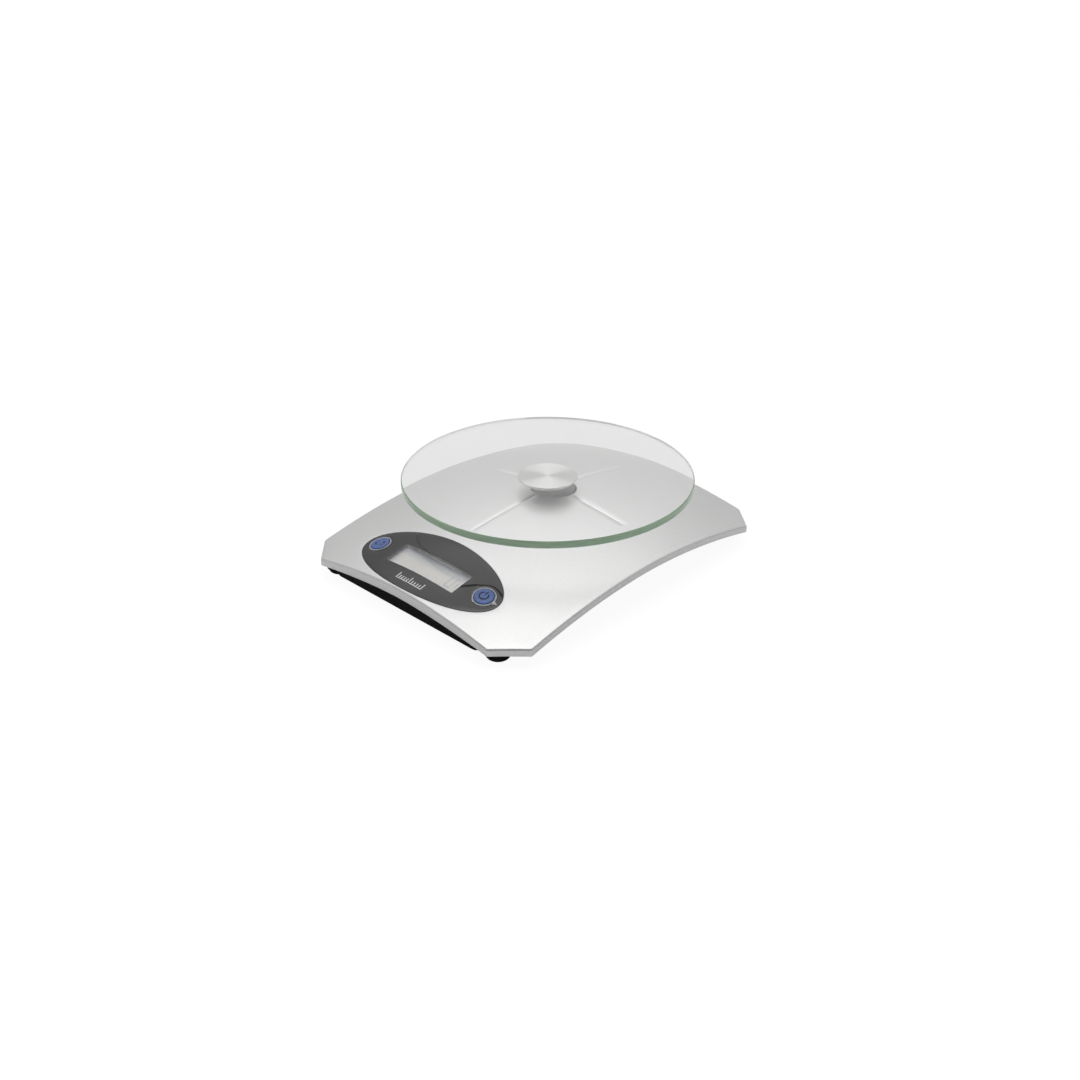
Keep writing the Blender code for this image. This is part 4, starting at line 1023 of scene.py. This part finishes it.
def lcd_face_painted_shade():
    """Blank reflective LCD: pale grey-green, with painted shade that makes it bluer and darker towards its
    upper edge, where the window's edge shades it.
    """
    material, tree, shader = new_material("lcd_face_painted_shade")
    up = share_along(tree, "Y", WINDOW_V - WINDOW_HALF_V, WINDOW_V + WINDOW_HALF_V)
    # The bluer, darker stops towards the upper edge are painted shade, not the LCD's own colour.
    stops = [(0.0, (0.76, 0.74, 0.69)), (0.55, (0.74, 0.72, 0.68))]
    stops += [(0.80, (0.56, 0.57, 0.59)), (1.0, (0.36, 0.39, 0.46))]
    base = ramp(tree, up, stops)
    cloud = ramp(tree, noise(tree, 60), [(0.3, 0.94), (0.7, 1.0)])
    mix = tree.nodes.new("ShaderNodeMix")
    mix.data_type = "RGBA"
    mix.blend_type = "MULTIPLY"
    mix.inputs["Factor"].default_value = 1.0
    link(base, mix.inputs["A"])
    link(cloud, mix.inputs["B"])
    link(mix.outputs["Result"], shader.inputs["Base Color"])
    shader.inputs["Roughness"].default_value = 0.30
    return material


def build_lcd():
    """Two glasses, the lower one reaching out to its contacts, and faint cells near the right end."""
    bm = bmesh.new()
    low_v, high_v = WINDOW_V - LCD_HALF_V, WINDOW_V + LCD_HALF_V
    middle = LCD_TOP - LCD_THICK / 2
    left, right = WINDOW_U - LCD_HALF_U, WINDOW_U + LCD_HALF_U
    add_box(bm, (left, low_v, middle + 0.02 * MM), (right, high_v - LCD_LEDGE, LCD_TOP))
    inset = 0.2 * MM
    add_box(bm, (left + inset, low_v + inset, LCD_TOP - LCD_THICK), (right - inset, high_v, middle))
    bmesh.ops.bevel(bm, geom=bm.edges[:], offset=0.12 * MM, segments=2, affect="EDGES")
    keep(finish_mesh("lcd", bm, lcd_face_painted_shade(), matrix=DISPLAY), "chassis", "lcd_glass", "lcd_module")

    bm = bmesh.new()
    for ends in LCD_CELLS:
        ribbon(bm, [(u * MM, v * MM) for u, v in ends], CELL_HALF, level(LCD_TOP + 0.01 * MM), CELL_THICK)
    grey = mottled("lcd_cells", (0.48, 0.50, 0.53), 0.02, 200, 0.35)
    keep(finish_mesh("lcd_cells", bm, grey, matrix=DISPLAY), "chassis", "lcd_glass")


def build_holder(white_plastic):
    """White frame round the LCD, and the grey bezel that fills the step up to the lens."""
    bm = bmesh.new()
    gap = 0.3 * MM
    inner = (LCD_HALF_U + gap, LCD_HALF_V + gap)
    frame_ring(bm, inner, HOLDER_WALL, BOARD_TOP + gap, level(HOLDER_TOP))
    holder = finish_mesh("lcd_holder_frame", bm, white_plastic, weld=1e-6, matrix=DISPLAY)
    keep(holder, "chassis", "white_plastic", "lcd_holder")

    bm = bmesh.new()
    inner = (WINDOW_HALF_U + BEZEL_GAP, WINDOW_HALF_V + BEZEL_GAP)
    frame_ring(bm, inner, BEZEL_WALL, LCD_TOP + 0.02 * MM, under_the_lens)
    bluish = mottled("bezel_grey", (0.42, 0.43, 0.48), 0.05, 300, 0.45, grain=0.01 * MM)
    bezel = finish_mesh("lcd_bezel", bm, bluish, weld=1e-6, matrix=DISPLAY)
    keep(bezel, "chassis", "white_plastic", "lcd_holder")


def under_the_lens(u, v):
    return surface_height(u, v) - PANEL_THICK + 0.05 * MM


def level(height):
    return lambda u, v: height


def frame_ring(bm, inner, wall, low, top):
    """Frame round the window's middle. top is a height over (u, v)."""
    inner_loop = rounded_rectangle(*inner, WINDOW_CORNER)
    outer_loop = rounded_rectangle(inner[0] + wall, inner[1] + wall, WINDOW_CORNER + wall)
    count = min(len(inner_loop), len(outer_loop))
    inner_loop = resampled(inner_loop, count)
    outer_loop = resampled(outer_loop, count)
    rings = [inner_loop, outer_loop, outer_loop, inner_loop, inner_loop]
    heights = [level(low), level(low), top, top, level(low)]
    strip(bm, [[(u, v, height(u, v)) for u, v in ring] for ring, height in zip(rings, heights)])


def resampled(loop, count):
    """The same closed line with count points, at even shares of the turn round its middle."""
    middle = sum((Vector(p) for p in loop), Vector((0, 0))) / len(loop)
    points = []
    for k in range(count):
        way = Vector((math.cos(FULL_TURN * k / count), math.sin(FULL_TURN * k / count)))
        best = None
        for i, end in enumerate(loop):
            start = Vector(loop[i - 1]) - middle
            step = Vector(end) - middle - start
            cross = way.x * step.y - way.y * step.x
            if abs(cross) > 1e-12:
                t = (start.x * way.y - start.y * way.x) / cross
                hit = start + step * t
                if 0 <= t <= 1 and hit.dot(way) > 0:
                    best = hit + middle
        points.append(tuple(best))
    return points


def build_button(name, side, body, materials):
    """Cap that sinks with its body, its mark, and the clear ring round it; the tare ring has a small lug."""
    u, v = side * BUTTON_U, BUTTON_V
    surface = surface_height(u, v)
    top = surface + BUTTON_PROUD
    spot = DISPLAY @ Matrix.Translation((u, v, 0))

    def drape(bm, above):
        for vert in bm.verts:
            if vert.co.z > above:
                vert.co.z += surface_height(u + vert.co.x, v + vert.co.y) - surface

    def crown(a, b):
        share = min(1.0, math.hypot(a, b) / BUTTON_CROWN_RADIUS)
        return top + BUTTON_CROWN * (1 - share**2)

    bm = lathe(cap_profile(top), 64)
    drape(bm, BUTTON_FOOT + BUTTON_FLANGE_THICK + 1 * MM)
    cap = finish_mesh(name + "_cap", bm, materials["blue_plastic"], smooth=40, matrix=spot)
    keep(cap, body, "blue_plastic", name + "_button")

    bm = bmesh.new()
    for points in MARKS[name]:
        ribbon(bm, [(a * MM, b * MM) for a, b in points], MARK_HALF, crown, MARK_THICK)
    drape(bm, surface)
    dark = mottled("mark_dark", (0.012, 0.014, 0.030), 0.1, 500, 0.5, specular=0.2)
    keep(finish_mesh(name + "_mark", bm, dark, matrix=spot), body, "blue_plastic")

    low, high = surface - PANEL_THICK, surface + RING_PROUD
    section = [(RING_INNER, low), (RING_OUTER, low), (RING_OUTER, high), (RING_INNER, high)]
    bm = lathe(softened(section, [0, 0, 0.2 * MM, 0.2 * MM], 4, looped=True), 72, looped=True)
    if name == "tare":
        add_lug(bm, surface)
    drape(bm, low - 1 * MM)
    ring = finish_mesh(name + "_ring", bm, materials["clear_plastic"], smooth=40, matrix=spot)
    keep(ring, "chassis", "clear_plastic", name + "_button_ring")


def cap_profile(top):
    """Stem with a flange at its foot and a slightly crowned top."""
    flange_top = BUTTON_FOOT + BUTTON_FLANGE_THICK
    profile = [(0, BUTTON_FOOT), (BUTTON_FLANGE_RADIUS, BUTTON_FOOT), (BUTTON_FLANGE_RADIUS, flange_top)]
    profile += [(BUTTON_RADIUS, flange_top), (BUTTON_RADIUS, top), (3.2 * MM, top + 0.12 * MM)]
    profile += [(1.6 * MM, top + 0.26 * MM), (0, top + BUTTON_CROWN)]
    return softened(profile, [0, 0.1 * MM, 0.1 * MM, 0, 0.6 * MM, 0, 0, 0], 5)


def add_lug(ring, surface):
    """Low pointed lug on the ring's outer side."""
    root = RING_OUTER - 0.25 * MM
    plan = [(root, -LUG_HALF), (LUG_TIP, 0), (root, LUG_HALF)]
    heights = [RING_PROUD, LUG_TIP_PROUD, RING_PROUD]
    floor = [ring.verts.new((a, b, surface + 0.03 * MM)) for a, b in plan]
    crest = [ring.verts.new((a, b * 0.6, surface + n)) for (a, b), n in zip(plan, heights)]
    ring.faces.new(floor[::-1])
    ring.faces.new(crest)
    for k in range(3):
        ring.faces.new((floor[k - 1], floor[k], crest[k], crest[k - 1]))


def arc(radius, start, end):
    """Twenty points of an arc in millimetres, with angles in degrees."""
    turns = [math.radians(start + (end - start) * k / 19) for k in range(20)]
    return [(radius * math.cos(t), radius * math.sin(t)) for t in turns]


# Lines of the buttons' marks in millimetres: two arrows with half a head each, and a power sign.
MARK_HALF = 0.32 * MM
MARK_THICK = 0.05 * MM
RIGHT_ARROW = [[(-2.4, 0.7), (2.2, 0.7)], [(1.0, 1.9), (2.4, 0.7)]]
LEFT_ARROW = [[(2.4, -0.8), (-2.2, -0.8)], [(-1.0, -2.0), (-2.4, -0.8)]]
MARKS = {"unit": RIGHT_ARROW + LEFT_ARROW, "tare": [arc(2.2, 125, 415), [(0, 0.7), (0, 2.9)]]}


# ---- camera, floor and light


def build_camera():
    data = bpy.data.cameras.new("camera")
    data.lens = CAMERA_LENS
    data.sensor_width = 36.0
    data.clip_start = 0.01
    data.clip_end = 100.0
    camera = bpy.data.objects.new("camera", data)
    camera.location = CAMERA_PLACE
    camera.rotation_euler = (math.radians(90 - VIEW_PITCH), 0, math.radians(VIEW_AZIMUTH))
    bpy.context.scene.collection.objects.link(camera)
    bpy.context.scene.camera = camera


def build_floor():
    bm = bmesh.new()
    bmesh.ops.create_circle(bm, cap_ends=True, segments=64, radius=FLOOR_RADIUS)
    material, tree, shader = new_material("floor_white")
    tint = ramp(tree, noise(tree, 3), [(0.3, 0.90), (0.7, 0.92)])
    set_values(shader, {"Roughness": 0.9, "Specular IOR Level": 0.0})
    # Seen directly, the floor is nearly all glow, so that the shadow on it stays faint.
    path = tree.nodes.new("ShaderNodeLightPath")
    direct = tree.nodes.new("ShaderNodeMix")
    direct.data_type = "RGBA"
    direct.inputs["B"].default_value = FLOOR_DIRECT_GREY
    link(path.outputs["Is Camera Ray"], direct.inputs["Factor"])
    link(tint, direct.inputs["A"])
    link(direct.outputs["Result"], shader.inputs["Base Color"])
    through = tree.nodes.new("ShaderNodeMath")
    through.operation = "MULTIPLY"
    through.inputs[1].default_value = THROUGH_GLASS_GLOW
    link(path.outputs["Is Transmission Ray"], through.inputs[0])
    glow = tree.nodes.new("ShaderNodeMath")
    glow.operation = "MULTIPLY_ADD"
    glow.inputs[1].default_value = DIRECT_GLOW
    link(path.outputs["Is Camera Ray"], glow.inputs[0])
    link(through.outputs[0], glow.inputs[2])
    shader.inputs["Emission Color"].default_value = WHITE
    link(glow.outputs[0], shader.inputs["Emission Strength"])
    # Seen from below, the floor is clear and shows the object's underside.
    side = tree.nodes.new("ShaderNodeNewGeometry")
    clear = tree.nodes.new("ShaderNodeBsdfTransparent")
    mix_surfaces(tree, side.outputs["Backfacing"], shader.outputs["BSDF"], clear.outputs["BSDF"])
    floor = finish_mesh("floor", bm, material)
    floor.location.z = cad_low.z - FLOOR_GAP


def build_light():
    """Soft studio: a bright bank overhead on the far side, and a dim side behind the viewer."""
    scene = bpy.context.scene
    scene.view_settings.view_transform = "Standard"
    scene.view_settings.look = "None"
    world = bpy.data.worlds.new("studio")
    scene.world = world
    world.use_nodes = True
    tree = world.node_tree
    background = tree.nodes["Background"]
    coordinates = tree.nodes.new("ShaderNodeTexCoord")
    split = tree.nodes.new("ShaderNodeSeparateXYZ")
    link(coordinates.outputs["Generated"], split.inputs[0])
    azimuth = math.radians(VIEW_AZIMUTH)
    facing = tree.nodes.new("ShaderNodeVectorMath")
    facing.operation = "DOT_PRODUCT"
    facing.inputs[1].default_value = (math.sin(azimuth), -math.cos(azimuth), 0)
    link(coordinates.outputs["Generated"], facing.inputs[0])
    side = remapped(tree, facing.outputs["Value"], NEAR_SIDE)
    side.interpolation_type = "SMOOTHSTEP"
    mix = tree.nodes.new("ShaderNodeMix")
    mix.data_type = "RGBA"
    link(side.outputs["Result"], mix.inputs["Factor"])
    link(ramp(tree, split.outputs["Z"], scaled(FAR_LEVELS)), mix.inputs["A"])
    link(ramp(tree, split.outputs["Z"], scaled(NEAR_LEVELS)), mix.inputs["B"])
    link(mix.outputs["Result"], background.inputs["Color"])
    bank = remapped(tree, facing.outputs["Value"], BANK_SIDE, (LIGHT_PEAK, LIGHT_PEAK * BANK_GAIN))
    link(bank.outputs["Result"], background.inputs["Strength"])
    # Behind the object the studio looks as white as the floor.
    backdrop = tree.nodes.new("ShaderNodeBackground")
    backdrop.inputs["Color"].default_value = WHITE
    path = tree.nodes.new("ShaderNodeLightPath")
    seen = path.outputs["Is Camera Ray"]
    mix_surfaces(tree, seen, background.outputs[0], backdrop.outputs[0], output="World Output")


def scaled(stops):
    """Light levels as shares of the brightest one."""
    return [(place, level / LIGHT_PEAK) for place, level in stops]


def main():
    materials = slot_materials()
    dress_cad_nodes(materials)
    build_camera()
    build_floor()
    build_light()
    build_cover(materials["silver_paint"])
    build_feet(materials["black_rubber"])
    build_glass(materials["clear_glass"])
    build_hub(materials["spun_metal"])
    build_post(materials["dark_metal"])
    build_panel(materials["smoked_panel"])
    build_print_and_edge_highlight()
    build_lcd()
    build_holder(materials["white_plastic"])
    build_button("unit", -1, "unit_key", materials)
    build_button("tare", 1, "tare_key", materials)


main()
